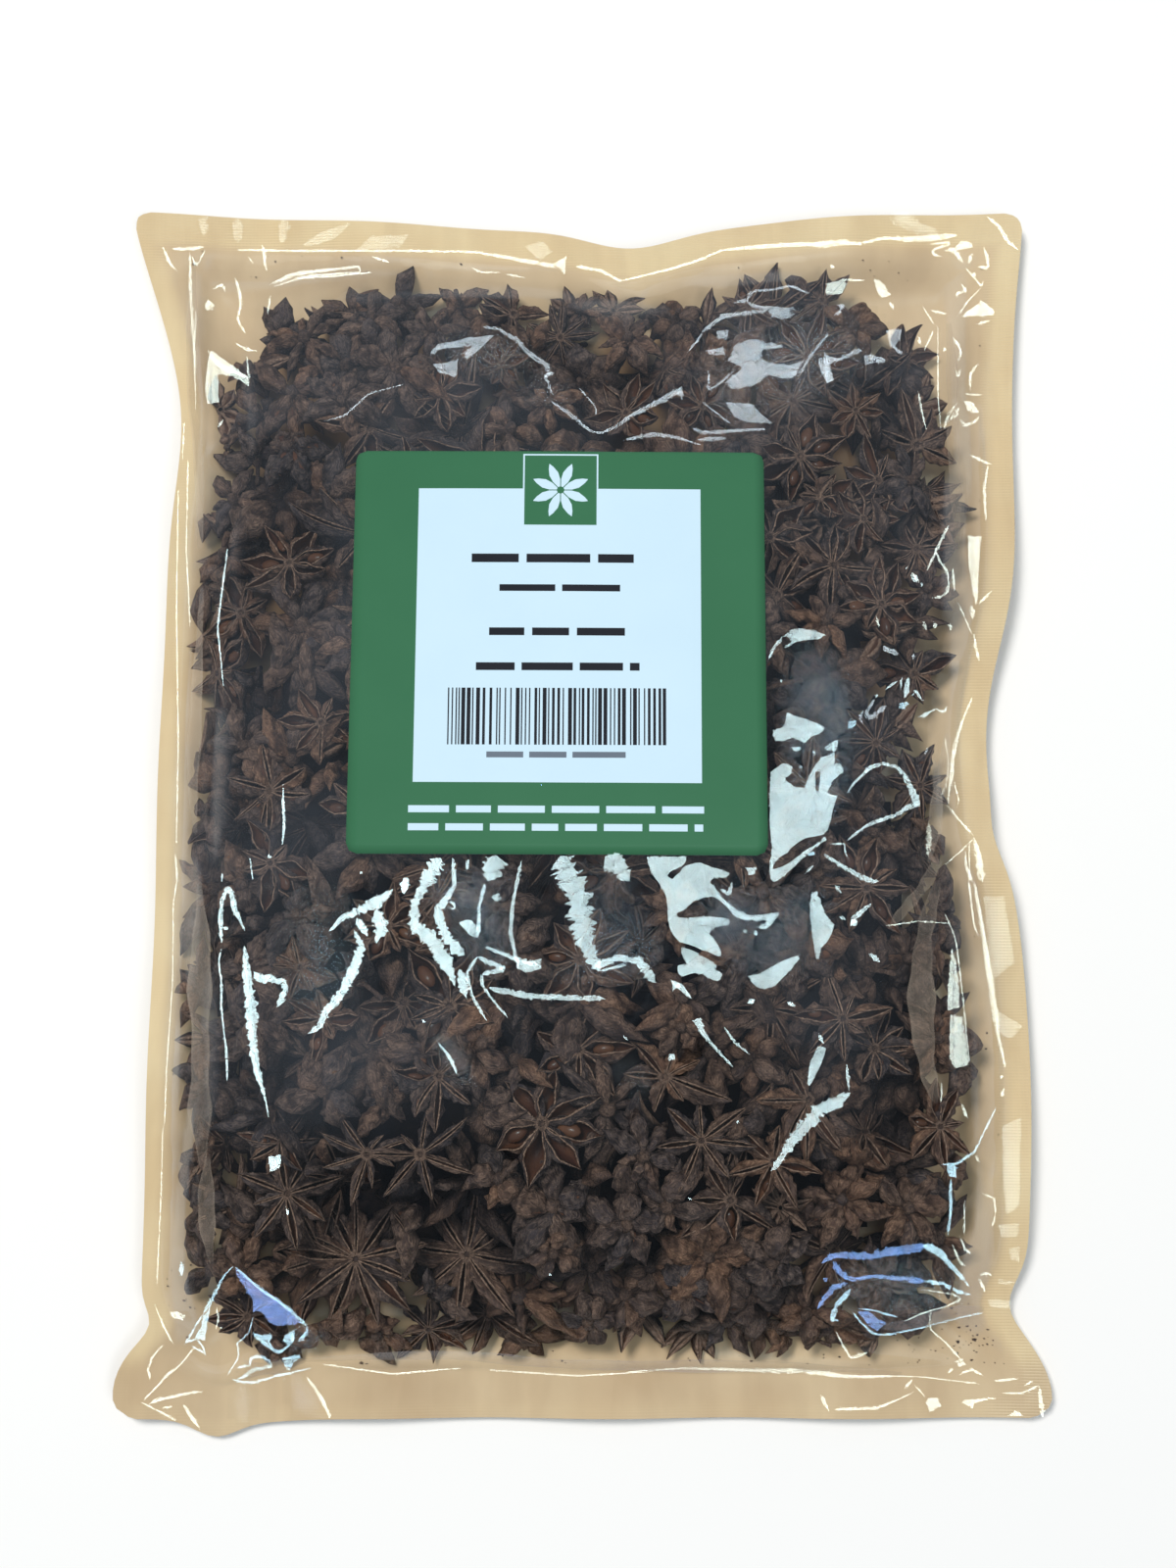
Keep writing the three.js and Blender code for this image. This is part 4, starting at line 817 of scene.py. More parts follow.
class Pack:
    """pods are floated up under the front film, each as high as it can go"""

    def __init__(self):
        self.ceiling = FRONT - 0.45
        self.ceiling = np.where(label_outside(GX, GY) < 2, self.ceiling - 0.3, self.ceiling)
        self.film = self.ceiling.copy()
        self.floor = BACK + 0.5
        self.top = np.full_like(GX, -99.0)
        self.owner = np.full(GX.shape, -1)
        self.placed = []

    def cells(self, P, x, y):
        i = ((P[:, 0] + x - RX[0]) / RES + 0.5).astype(int)
        j = ((P[:, 1] + y - RY[0]) / RES + 0.5).astype(int)
        ok = (i >= 0) & (j >= 0) & (i < len(RX)) & (j < len(RY))
        return j, i, ok

    def fit(self, P, x, y):
        j, i, ok = self.cells(P, x, y)
        if not ok.all():
            return None
        out = (AREA[j, i] < 0).mean()
        # the film is firm; between pods a few tips may reach past each other
        gap = self.ceiling[j, i] - P[:, 2]
        k = len(gap) // 14
        dz = min((self.film[j, i] - P[:, 2]).min(), np.partition(gap, k)[k])
        low = (P[:, 2] + dz - self.floor[j, i]).min()
        return dz, low, out

    def put(self, P, x, y, dz, info):
        j, i, ok = self.cells(P, x, y)
        z = P[:, 2] + dz
        np.minimum.at(self.ceiling, (j, i), z + SINK)
        k = len(self.placed)
        order = np.argsort(z)
        better = z[order] > self.top[j[order], i[order]]
        jj, ii, zz = j[order][better], i[order][better], z[order][better]
        self.top[jj, ii] = zz
        self.owner[jj, ii] = k
        self.placed.append(info + (x, y, dz))


def dense(V, F):
    return np.concatenate([V, V[F].mean(1)])


def thick(V, F):
    """points all over the faces, close enough to leave no cell of the raster out"""
    Q = V[F]
    w = np.array([(a, b) for a in (0.1, 0.5, 0.9) for b in (0.1, 0.5, 0.9)])
    k = np.stack([(1 - w[:, 0]) * (1 - w[:, 1]), w[:, 0] * (1 - w[:, 1]), w[:, 0] * w[:, 1], (1 - w[:, 0]) * w[:, 1]], 1)
    return np.einsum("wc,fcd->wfd", k, Q).reshape(-1, 3)


def widest(r):
    """each cell takes the highest value round it"""
    p = np.pad(r, 1, mode="edge")
    return np.maximum.reduce([p[b:b + r.shape[0], a:a + r.shape[1]] for a in range(3) for b in range(3)])


def pack_pods():
    pk = Pack()
    rng = np.random.default_rng(314)
    for k, (u, v, r, kind, arms, face, lean, toward) in enumerate(SHOWN):
        z0 = 36.0
        x, y = to_plan(u, v, z0)[:2]
        z0 = float(look_up(FRONT, np.array([x]), np.array([y]))[0]) - 4
        x, y = to_plan(u, v, z0)[:2]
        R = r * CAM_SCALE * (CAM_D - z0) / CAM_D
        seed = 1000 + k
        h, _ = make_pod(seed, R, kind, arms, 1)
        V, F, A = h.arrays()
        P0 = dense(V, F)
        best = None
        for t in range(10):
            spin = rng.uniform(0, 6.28)
            M = pose_matrix(face, math.radians(lean) * (1 if t < 5 else 0.5), math.radians(toward), spin)
            P = P0 @ M.T
            f = pk.fit(P, x, y)
            if f is None:
                continue
            dz, low, out = f
            score = dz + P[:, 2].max() + min(0, low + 0.3) * 6 - 10 * out
            if best is None or score > best[0]:
                best = (score, P, dz, M)
        if best:
            pk.put(thick(V, F) @ best[3].T, x, y, best[2], (seed, R, kind, arms, best[3]))
    shown = len(pk.placed)
    room = FRONT - BACK
    seed = 5000
    # whole pods first, then broken ones and single carpels in what is left bare
    for stage, most, patience, bare_depth, least, reach in ((0, 300, 200, 10, 14, 20), (1, 130, 160, 9, 9, 20), (3, 170, 140, 12, 9, 28), (2, 260, 240, 9, 4.5, 22)):
        fails = made = 0
        while made < most and fails < patience:
            seed += 1
            if made % 6 == 0:
                cover = widest(pk.top)
                bare = (AREA > 0.5) & (cover < FRONT - bare_depth) & (room > 5) & (label_outside(GX, GY) > -9)
                jj, ii = np.nonzero(bare)
                weight = blur(bare.astype(float), 2.5)[jj, ii] ** 2
                weight /= weight.sum()
            if len(jj) < 100:
                break
            u = rng.uniform()
            kind = "open" if u < 0.15 else "mixed" if u < 0.58 else "slit" if u < 0.74 else "thin" if u < 0.82 else "stub" if u < 0.95 else "lump"
            R = float(np.clip(rng.normal(14.4, 2.2), 9.5, 18.5)) * (1.12 if kind in ("slit", "thin") else 0.98)
            if stage == 1:
                R *= rng.uniform(0.6, 0.9)
            elif stage == 3:
                R *= rng.uniform(0.75, 1.05)
            elif stage == 2:
                kind, R = "single", rng.uniform(8.5, 15)
            spot = rng.choice(len(jj), size=20, p=weight)
            h, _ = make_pod(seed, R, kind, None, 0)
            V, F, A = h.arrays()
            P0 = dense(V, F)
            best = None
            for t in range(20):
                x, y = RX[ii[spot[t]]] + rng.normal(0, 2.0), RY[jj[spot[t]]] + rng.normal(0, 2.0)
                space = float(look_up(room, np.array([x]), np.array([y]))[0])
                face = 1 if rng.uniform() < 0.5 else -1
                lean = abs(rng.normal(0, 0.5)) if rng.uniform() < 0.55 else rng.uniform(0.9, 1.6)
                if space < 15 or stage == 3:
                    lean *= 0.25
                M = pose_matrix(face, lean, rng.uniform(0, 6.28), rng.uniform(0, 6.28))
                P = P0 @ M.T
                f = pk.fit(P, x, y)
                if f is None or f[1] < -0.6 or f[2] > 0.10:
                    continue
                j, i, ok = pk.cells(P, x, y)
                z = P[:, 2] + f[0]
                new = (z > cover[j, i] + 0.5) & (FRONT[j, i] - z < reach) & bare[j, i]
                worth = np.zeros(len(j))
                worth[new] = 1 - (FRONT[j, i] - z)[new] / (reach + 6)
                gain = len(np.unique(j[new] * 4096 + i[new])) * (worth[new].mean() if new.any() else 0)
                if best is None or gain > best[0]:
                    best = (gain, f[0], M, x, y)
            if best is None or best[0] < least:
                fails += 1
                continue
            pk.put(thick(V, F) @ best[2].T, best[3], best[4], best[1], (seed, R, kind, None, best[2]))
            made += 1
        print("stage", stage, "made", made, "fails", fails, "bare cells", len(jj))
    return pk, shown


PACKED, N_SHOWN = pack_pods()
print("pods", len(PACKED.placed), "of them placed by hand", N_SHOWN)


# ==================================================================== materials
class Shader:
    """a small helper to wire a node material"""

    def __init__(self, name):
        self.m = bpy.data.materials.new(name)
        self.m.use_nodes = True
        self.t = self.m.node_tree
        self.t.nodes.clear()
        self.out = self.t.nodes.new("ShaderNodeOutputMaterial")
        self.coord = self.t.nodes.new("ShaderNodeTexCoord")

    def node(self, kind, **inputs):
        n = self.t.nodes.new("ShaderNode" + kind)
        for k, v in inputs.items():
            n.inputs[k.replace("_", " ")].default_value = v
        return n

    def join(self, a, b):
        self.t.links.new(a, b)

    def noise(self, scale, detail=3.0, rough=0.55, warp=0.0, vector=None):
        n = self.node("TexNoise", Scale=scale, Detail=detail, Roughness=rough, Distortion=warp)
        self.join(vector or self.coord.outputs["Object"], n.inputs["Vector"])
        return n.outputs[0]

    def ramp(self, src, stops, ease=False):
        r = self.t.nodes.new("ShaderNodeValToRGB")
        e = r.color_ramp.elements
        while len(e) < len(stops):
            e.new(0.5)
        for el, (p, c) in zip(e, stops):
            el.position = p
            el.color = c if not isinstance(c, (int, float)) else (c, c, c, 1)
        if ease:
            r.color_ramp.interpolation = "EASE"
        self.join(src, r.inputs[0])
        return r.outputs[0]

    def mix(self, fac, a, b, mode="MIX"):
        x = self.t.nodes.new("ShaderNodeMix")
        x.data_type = "RGBA"
        x.blend_type = mode
        for src, i in ((fac, 0), (a, 6), (b, 7)):
            if isinstance(src, (tuple, float, int)):
                x.inputs[i].default_value = src
            else:
                self.join(src, x.inputs[i])
        return x.outputs[2]

    def math(self, op, a, b=0.0):
        x = self.t.nodes.new("ShaderNodeMath")
        x.operation = op
        for src, i in ((a, 0), (b, 1)):
            if isinstance(src, (float, int)):
                x.inputs[i].default_value = src
            else:
                self.join(src, x.inputs[i])
        return x.outputs[0]

    def bump(self, height, strength, distance):
        b = self.node("Bump", Strength=strength, Distance=distance)
        self.join(height, b.inputs["Height"])
        return b.outputs[0]

    def own(self, name):
        a = self.t.nodes.new("ShaderNodeAttribute")
        a.attribute_name = name
        return a.outputs["Vector"]

    def amount(self, name):
        a = self.t.nodes.new("ShaderNodeAttribute")
        a.attribute_name = name
        return a.outputs["Fac"]

    def data(self, name):
        a = self.t.nodes.new("ShaderNodeAttribute")
        a.attribute_name = name
        s = self.t.nodes.new("ShaderNodeSeparateColor")
        self.join(a.outputs["Color"], s.inputs[0])
        return s.outputs[0], s.outputs[1], s.outputs[2], a.outputs["Alpha"]


def husk_material():
    s = Shader("anise_husk")
    rim, inside, tone, wrinkle_shade = s.data("pod")
    grain = s.own("grain")
    bark = s.noise(0.62, 3, 0.55, 1.1, grain)
    ridge = s.ramp(s.math("ABSOLUTE", s.math("SUBTRACT", bark, 0.5)), [(0.0, 1.0), (0.03, 0.62), (0.09, 0.18), (0.17, 0.0)])
    fine = s.noise(2.6, 4, 0.6, 0.5, grain)
    big = s.noise(0.16, 3, 0.5, 0.0, grain)
    dark = s.ramp(tone, [(0.0, srgb(62, 54, 51)), (0.5, srgb(90, 70, 57)), (1.0, srgb(122, 87, 63))])
    light = s.ramp(tone, [(0.0, srgb(138, 116, 98)), (0.5, srgb(164, 130, 102)), (1.0, srgb(184, 139, 102))])
    outer = s.mix(ridge, dark, light)
    outer = s.mix(s.ramp(big, [(0.48, 0.0), (0.75, 0.5)]), outer, srgb(88, 79, 76))
    outer = s.mix(0.6, outer, s.ramp(fine, [(0.34, (0.42, 0.41, 0.42, 1)), (0.56, 1.0)]), "MULTIPLY")
    # painted shade: the outside is darkened down in its wrinkles
    outer = s.mix(0.85, outer, s.ramp(wrinkle_shade, [(0.18, (0.26, 0.25, 0.26, 1)), (0.58, 1.0)]), "MULTIPLY")
    inner = s.ramp(big, [(0.35, srgb(80, 50, 36)), (0.65, srgb(120, 80, 54))])
    inner = s.mix(0.5, inner, s.ramp(fine, [(0.3, (0.62, 0.60, 0.58, 1)), (0.7, 1.0)]), "MULTIPLY")
    c = s.mix(inside, outer, inner)
    edge = s.ramp(fine, [(0.35, srgb(128, 98, 75)), (0.65, srgb(184, 148, 116))])
    c = s.mix(s.ramp(rim, [(0.45, 0.0), (0.80, 1.0)]), c, edge)
    # painted shade: husks lying low in the heap are darkened towards a cool navy
    c = s.mix(1.0, c, s.ramp(s.amount("heap_shade"), [(0.0, 1.0), (1.0, (0.26, 0.27, 0.31, 1))]), "MULTIPLY")
    c = s.mix(1.0, c, (0.72, 0.80, 1.0, 1), "MULTIPLY")
    b = s.node("BsdfPrincipled")
    s.join(c, b.inputs["Base Color"])
    s.join(s.ramp(inside, [(0.4, 0.74), (0.9, 0.46)]), b.inputs["Roughness"])
    b.inputs["Specular IOR Level"].default_value = 0.32
    rough = s.math("ADD", s.math("MULTIPLY", ridge, 0.7), s.math("MULTIPLY", fine, 0.6))
    s.join(s.bump(s.math("MULTIPLY", rough, s.math("SUBTRACT", 1.15, inside)), 0.85, 0.0006), b.inputs["Normal"])
    s.join(b.outputs[0], s.out.inputs[0])
    return s.m


def seed_material():
    s = Shader("anise_seed")
    b = s.node("BsdfPrincipled", Roughness=0.24)
    rim, inside, tone, wrinkle_shade = s.data("pod")
    c = s.mix(tone, s.ramp(s.noise(260, 3), [(0.3, srgb(56, 36, 26)), (0.7, srgb(76, 49, 35))]),
              s.ramp(s.noise(310, 3), [(0.3, srgb(74, 50, 36)), (0.7, srgb(98, 67, 47))]))
    s.join(c, b.inputs["Base Color"])
    s.join(s.bump(s.noise(800, 2), 0.1, 0.0002), b.inputs["Normal"])
    s.join(b.outputs[0], s.out.inputs[0])
    return s.m


def heap_shadow_material():
    s = Shader("anise_heap_shadow")
    b = s.node("BsdfPrincipled", Roughness=0.95)
    # painted shadow: the heap is near-black navy, the look of pods lying far down in shade
    s.join(s.ramp(s.noise(120, 4, 0.6, 0.6), [(0.42, srgb(8, 11, 18)), (0.72, srgb(38, 31, 29))]), b.inputs["Base Color"])
    s.join(s.bump(s.noise(90, 3), 0.4, 0.002), b.inputs["Normal"])
    b.inputs["Specular IOR Level"].default_value = 0.1
    s.join(b.outputs[0], s.out.inputs[0])
    return s.m


def film_material():
    """clear film: it lets nearly everything through and mirrors the rest"""
    s = Shader("clear_film")
    slack, haze, tone, no_dots = s.data("film")
    clear = s.node("BsdfTransparent", Color=(0.962, 0.968, 0.968, 1))
    gloss = s.node("BsdfGlossy", Color=(0.97, 1.0, 1.0, 1), Roughness=0.035)
    # a milky diffuse layer: its bluish veil is partly the film's own haze and partly painted reflection of a bluish
    # surrounding; its pale crease lines are partly whitened film and partly painted highlight
    lit = s.node("BsdfDiffuse")
    s.join(s.mix(slack, s.mix(tone, (0.55, 0.64, 0.78, 1), (0.92, 0.90, 0.86, 1)), (0.93, 0.82, 0.66, 1)), lit.inputs["Color"])
    n = s.bump(s.noise(160, 2, 0.5, 0.3), 0.03, 0.0005)
    s.join(n, gloss.inputs["Normal"])
    # a film mirrors as much from inside as from outside, so its gloss follows the facing angle
    face = s.node("LayerWeight", Blend=0.5)
    s.join(n, face.inputs["Normal"])
    mirrored = s.math("MULTIPLY", no_dots, s.math("ADD", 0.028, s.math("MULTIPLY", s.math("POWER", face.outputs["Facing"], 5.0), 0.80)))
    a = s.t.nodes.new("ShaderNodeMixShader")
    cloud = s.ramp(s.noise(26, 3, 0.55, 0.6), [(0.35, 0.25), (0.70, 1.0)])
    bent = s.math("ADD", s.math("MULTIPLY", tone, 0.30), s.math("MULTIPLY", slack, 0.26))
    s.join(s.math("ADD", s.math("MULTIPLY", s.math("MULTIPLY", haze, cloud), 0.058), bent), a.inputs[0])
    s.join(clear.outputs[0], a.inputs[1])
    s.join(lit.outputs[0], a.inputs[2])
    b = s.t.nodes.new("ShaderNodeMixShader")
    s.join(mirrored, b.inputs[0])
    s.join(a.outputs[0], b.inputs[1])
    s.join(gloss.outputs[0], b.inputs[2])
    s.join(b.outputs[0], s.out.inputs[0])
    return s.m


def back_film_material():
    s = Shader("tan_film")
    weld, shade, tone, bare = s.data("film")
    big, small = s.noise(38, 3, 0.5), s.noise(700, 3, 0.6)
    # long soft darker bands: painted shade where the film drapes
    stretch = s.t.nodes.new("ShaderNodeMapping")
    stretch.inputs["Scale"].default_value = (1.0, 0.22, 1.0)
    s.join(s.coord.outputs["Object"], stretch.inputs["Vector"])
    drape_shade = s.ramp(s.noise(95, 3, 0.55, 0.5, stretch.outputs[0]), [(0.36, (0.90, 0.885, 0.88, 1)), (0.62, (1.0, 1.0, 1.0, 1))])
    # the welds are coloured lighter than the loose film inside them: partly the seals' own colour, partly painted shade
    # on the loose film
    mottled = s.ramp(big, [(0.35, srgb(205, 178, 142)), (0.65, srgb(218, 194, 158))])
    welded = s.ramp(big, [(0.35, srgb(228, 202, 159)), (0.65, srgb(235, 213, 171))])
    # painted light: where tone marks the empty headspace at the top, the loose film is painted lighter
    mottled = s.mix(tone, mottled, s.ramp(big, [(0.35, srgb(214, 187, 149)), (0.65, srgb(227, 202, 164))]))
    c = s.mix(0.8, s.mix(weld, mottled, welded), drape_shade, "MULTIPLY")
    # painted shade: the tan film is darkened where pods lie over it, bare being 0 there
    c = s.mix(1.0, c, s.ramp(bare, [(0.0, (0.40, 0.335, 0.28, 1)), (1.0, (0.965, 0.965, 0.965, 1))]), "MULTIPLY")
    b = s.node("BsdfPrincipled", Roughness=0.34)
    s.join(c, b.inputs["Base Color"])
    b.inputs["Specular IOR Level"].default_value = 0.4
    # the seals' woven press marks
    x = s.t.nodes.new("ShaderNodeSeparateXYZ")
    s.join(s.coord.outputs["Object"], x.inputs[0])
    wave = lambda v, k: s.math("SINE", s.math("MULTIPLY", v, k))
    weave = s.math("MULTIPLY", s.math("ADD", s.math("MULTIPLY", wave(x.outputs[0], 6900.0), 0.14), wave(x.outputs[1], 8600.0)), shade)
    s.join(s.bump(s.math("ADD", weave, s.math("MULTIPLY", small, 0.5)), 0.22, 0.0002), b.inputs["Normal"])
    s.join(b.outputs[0], s.out.inputs[0])
    return s.m


def paper_material(name, low, high, rough, fleck=0.0):
    s = Shader(name)
    b = s.node("BsdfPrincipled", Roughness=rough)
    s.join(s.mix(s.noise(45, 4), low, high), b.inputs["Base Color"])
    s.join(s.bump(s.noise(1500, 3), 0.12, 0.00008), b.inputs["Normal"])
    b.inputs["Specular IOR Level"].default_value = 0.25
    s.join(b.outputs[0], s.out.inputs[0])
    return s.m


HUSK, SEED, HEAP_SHADOW = husk_material(), seed_material(), heap_shadow_material()
FILM, TAN = film_material(), back_film_material()
GREEN = paper_material("label_green", srgb(54, 106, 75), srgb(60, 113, 81), 0.42)
WHITE = paper_material("label_white", srgb(196, 222, 238), srgb(204, 229, 243), 0.5)
INK = paper_material("label_ink", srgb(26, 27, 32), srgb(44, 45, 52), 0.6)


# =================================================================== mesh making
def make_mesh(name, V, F, mats, data=None, data_name=None, face_mat=None, flat=False):
    me = bpy.data.meshes.new(name)
    P = V.astype("f8").copy()
    P[:, 0] += OX
    P[:, 1] += OY
    me.vertices.add(len(P))
    me.vertices.foreach_set("co", (P * MM).astype("f4").ravel())
    me.loops.add(F.size)
    me.loops.foreach_set("vertex_index", F.astype("i4").ravel())
    me.polygons.add(len(F))
    me.polygons.foreach_set("loop_start", np.arange(0, F.size, F.shape[1], dtype="i4"))
    if data is not None:
        at = me.attributes.new(data_name, "FLOAT_COLOR", "POINT")
        at.data.foreach_set("color", data[:, :4].astype("f4").ravel())
        if data.shape[1] > 4:
            at = me.attributes.new("grain", "FLOAT_VECTOR", "POINT")
            at.data.foreach_set("vector", data[:, 4:7].astype("f4").ravel())
        if data.shape[1] > 7:
            at = me.attributes.new("heap_shade", "FLOAT", "POINT")
            at.data.foreach_set("value", data[:, 7].astype("f4"))
    for m in mats:
        me.materials.append(m)
    if face_mat is not None:
        me.polygons.foreach_set("material_index", face_mat.astype("i4"))
    me.update(calc_edges=True)
    me.polygons.foreach_set("use_smooth", np.full(len(F), not flat))
    me.validate()
    ob = bpy.data.objects.new(name, me)
    SC.collection.objects.link(ob)
    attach(ob, "root")
    return ob


def grid_faces(nu, nv):
    j, i = np.meshgrid(np.arange(nv), np.arange(nu), indexing="ij")
    a = (j * (nu + 1) + i).ravel()
    return np.stack([a, a + 1, a + nu + 2, a + nu + 1], 1)


def pouch_grid(nu, nv):
    """a grid over the pouch's whole plan that ends on its waved edges"""
    a, b = np.meshgrid(np.linspace(0, 1, nu + 1), np.linspace(0, 1, nv + 1))
    x, y = lerp(-106.8, 110.3, a), lerp(-147.2, 159.6, b)
    for k in range(6):
        x = lerp(edge_left(y), edge_right(y), a)
        y = lerp(edge_bottom(x), edge_top(x), b)
    # rounded corners
    r = 5.0
    for sx, sy in ((0, 0), (1, 0), (0, 1), (1, 1)):
        cx = x[-1 if sy else 0, -1 if sx else 0] + (-r if sx else r)
        cy = y[-1 if sy else 0, -1 if sx else 0] + (-r if sy else r)
        qx, qy = (x - cx) * (1 if sx else -1), (y - cy) * (1 if sy else -1)
        m = (qx > 0) & (qy > 0)
        big = np.maximum(qx, qy)
        d = np.hypot(qx, qy) + 1e-9
        k = np.where(m, big / d, 1.0)
        x = np.where(m, cx + (x - cx) * k, x)
        y = np.where(m, cy + (y - cy) * k, y)
    return x, y


def weld_amount(x, y):
    d = np.minimum.reduce(inset(x, y))
    ins = inset(x, y)
    foot = ins[3] < 0
    m = np.minimum.reduce(ins[:3])
    w = 1 - smooth((m + 1.2) / 1.6)
    # at the foot only the outermost strip is welded, the rest is empty film
    return np.maximum(w, 1 - smooth((ins[3] + 9.0) / 1.6))


def build_films():
    nu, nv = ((222, 300))
    x, y = pouch_grid(nu, nv)
    z = look_up(FRONT, x, y)
    weld = weld_amount(x, y)
    # a bluish veil, thicker towards the top left: partly the film's own haze, partly painted reflection of a bluish
    # surrounding
    haze = smooth(0.62 + 0.35 * value_noise(x, y, 34, 61) + (y + 20) / 150 - (x - 10) / 420) * smooth(0.4 + np.minimum.reduce(inset(x, y)) / 12)
    # film bent sharply scatters a little light along the crease; these pale lines are also painted highlight on the
    # creases
    bend = FRONT - 0.25 * (np.roll(FRONT, 1, 0) + np.roll(FRONT, -1, 0) + np.roll(FRONT, 1, 1) + np.roll(FRONT, -1, 1))
    bend = blur(np.abs(bend - blur(bend, 3.0)), 0.6) * smooth((np.minimum.reduce(inset(GX, GY)) - 0.5) / 2)
    crease_whitening_and_highlight = smooth((look_up(bend, x, y) - 0.02) / 0.06)
    # slack film beside the welds lies in fine folds that run along them
    ins = inset(x, y)
    d = np.minimum.reduce(ins)
    along = np.minimum(ins[0], ins[1]) < np.minimum(ins[2], ins[3])
    wander = 3.5 * value_noise(x, y, 38, 63)
    t = np.where(along, x, y) + wander
    long_way = np.where(along, y, x)
    streak = value_noise(t, long_way * 0.09, 2.8, 64) + 0.7 * value_noise(t, long_way * 0.16, 5.5, 65)
    streak = smooth((streak - 0.22) / 0.5) * smooth((d + 0.5) / 1.5) * (1 - smooth((d - 9) / 9))
    # hardly any at the foot, fewer at the top
    streak = streak * smooth((ins[3] - d) / 8) * lerp(0.55, 1.0, smooth((ins[2] - d) / 8))
    crease_whitening_and_highlight = 0.42 * crease_whitening_and_highlight * (1 - 0.75 * smooth((d - 8) / 10)) * lerp(0.4, 1.0, smooth((ins[3] - d) / 8))
    gy, gx = np.gradient(FRONT, RES)
    dim = smooth((np.hypot(gx, gy) - 0.65) / 0.4) * smooth((AREA + 1.0) / 4.0)
    over_pods = smooth((look_up(AREA, x, y) + 2.0) / 4.0) * smooth((label_outside(x, y) - 0.5) / 1.0)
    gloss = look_up(lerp(1.0, 0.10, dim), x, y) * lerp(1.0, lamp_free(x, y, z), over_pods)
    data = np.stack([0.62 * streak, haze, crease_whitening_and_highlight, gloss], -1).reshape(-1, 4)
    V = np.stack([x, y, z], -1).reshape(-1, 3)
    front = make_mesh("film_front", V, grid_faces(nu, nv), [FILM], data, "film")
    nu, nv = 100, 132
    x, y = pouch_grid(nu, nv)
    z = look_up(BACK, x, y)
    z = np.minimum(z, look_up(FRONT, x, y) - 0.15)
    weld = weld_amount(x, y)
    ins = inset(x, y)
    pressed = weld * np.clip(smooth((12 - ins[1]) / 10) + 0.8 * smooth((12 - ins[2]) / 10) + 0.12, 0, 1) * smooth(0.75 + 0.5 * value_noise(x, y, 24, 66))
    weld = weld * lerp(1.0, 0.25, smooth((4 - ins[3]) / 6))
    # painted light: the back film in the empty headspace is painted lighter
    headspace_light = smooth((34 - ins[2]) / 14)
    # painted shade under the pods: 0 where they cover the back film
    bare = 1 - smooth((look_up(AREA, x, y) - 6.0) / 9.0)
    data = np.stack([weld, pressed, headspace_light, bare], -1).reshape(-1, 4)
    V = np.stack([x, y, z], -1).reshape(-1, 3)
    back = make_mesh("film_back", V, grid_faces(nu, nv), [TAN], data, "film")
    return front, back


def tops_around():
    """how high the pods reach near each spot"""
    top = np.maximum(PACKED.top, BACK)
    for k in range(7):
        top = widest(top)
    return blur(top, 4.0)


def with_heap_shade(V, A):
    """painted shade: husks are darkened the lower they lie below the pods round them; one more column of vertex data"""
    x, y = V[:, 0], V[:, 1]
    heap_shade = smooth((look_up(TOPS, x, y) - V[:, 2] - 3.0) / 11.0) * smooth((look_up(AREA, x, y) - 4.0) / 10.0)
    return np.concatenate([A, heap_shade[:, None]], 1)


TOPS = tops_around()
FILLED = blur((PACKED.owner >= 0).astype(float), 9.0)


def build_pods():
    pk = PACKED
    # how much of each pod shows from above decides how finely it is made
    shown = (pk.owner >= 0) & (label_outside(GX, GY) > -6)
    seen = np.bincount(pk.owner[shown], minlength=len(pk.placed)) * RES * RES
    rank = np.argsort(np.argsort(-seen))
    sets, size = {}, {}
    n = {2: 0, 1: 0, 0: 0}
    for k, (seed, R, kind, arms, M, x, y, dz) in enumerate(pk.placed):
        near_edge = abs(x) > 84 or y > 118 or y < -116
        if seen[k] < (1.5 if near_edge else 5):
            continue
        # no carpel lies all alone in the empty film
        if kind == "single" and look_up(FILLED, np.array([x]), np.array([y]))[0] < 0.62:
            continue
        detail = 2 if rank[k] < 78 else 1 if rank[k] < 215 else 0
        n[detail] += 1
        h, s = make_pod(seed, R, kind, arms, detail)
        V, F, A = h.arrays()
        V = V @ M.T + np.array([x, y, dz])
        V[:, 2] = np.maximum(V[:, 2], look_up(BACK, V[:, 0], V[:, 1]) + 0.3)   # none goes through the back film
        A = with_heap_shade(V, A)
        group = "pods_" + {"open": "open", "mixed": "mixed", "slit": "slit", "thin": "slit", "lump": "closed", "stub": "closed", "single": "single"}[kind]
        part = size.get(group, 0) // 150000
        size[group] = size.get(group, 0) + 2 * len(F)
        name = group + ("_" + "abcd"[part] if part else "")
        sets.setdefault(name, Bits()).add(V, F, A)
        if s.n:
            V, F, A = s.arrays()
            sets.setdefault("seeds", Bits()).add(V @ M.T + np.array([x, y, dz]), F, A)
    obs = []
    for name, bits in sorted(sets.items()):
        V, F, A = bits.arrays()
        print(name, "triangles", 2 * len(F))
        ob = make_mesh(name, V, F, [SEED if name == "seeds" else HUSK], A, "pod")
        obs.append(ob)
    print("pod triangles", sum(size.values()), "by detail", n)
    return obs


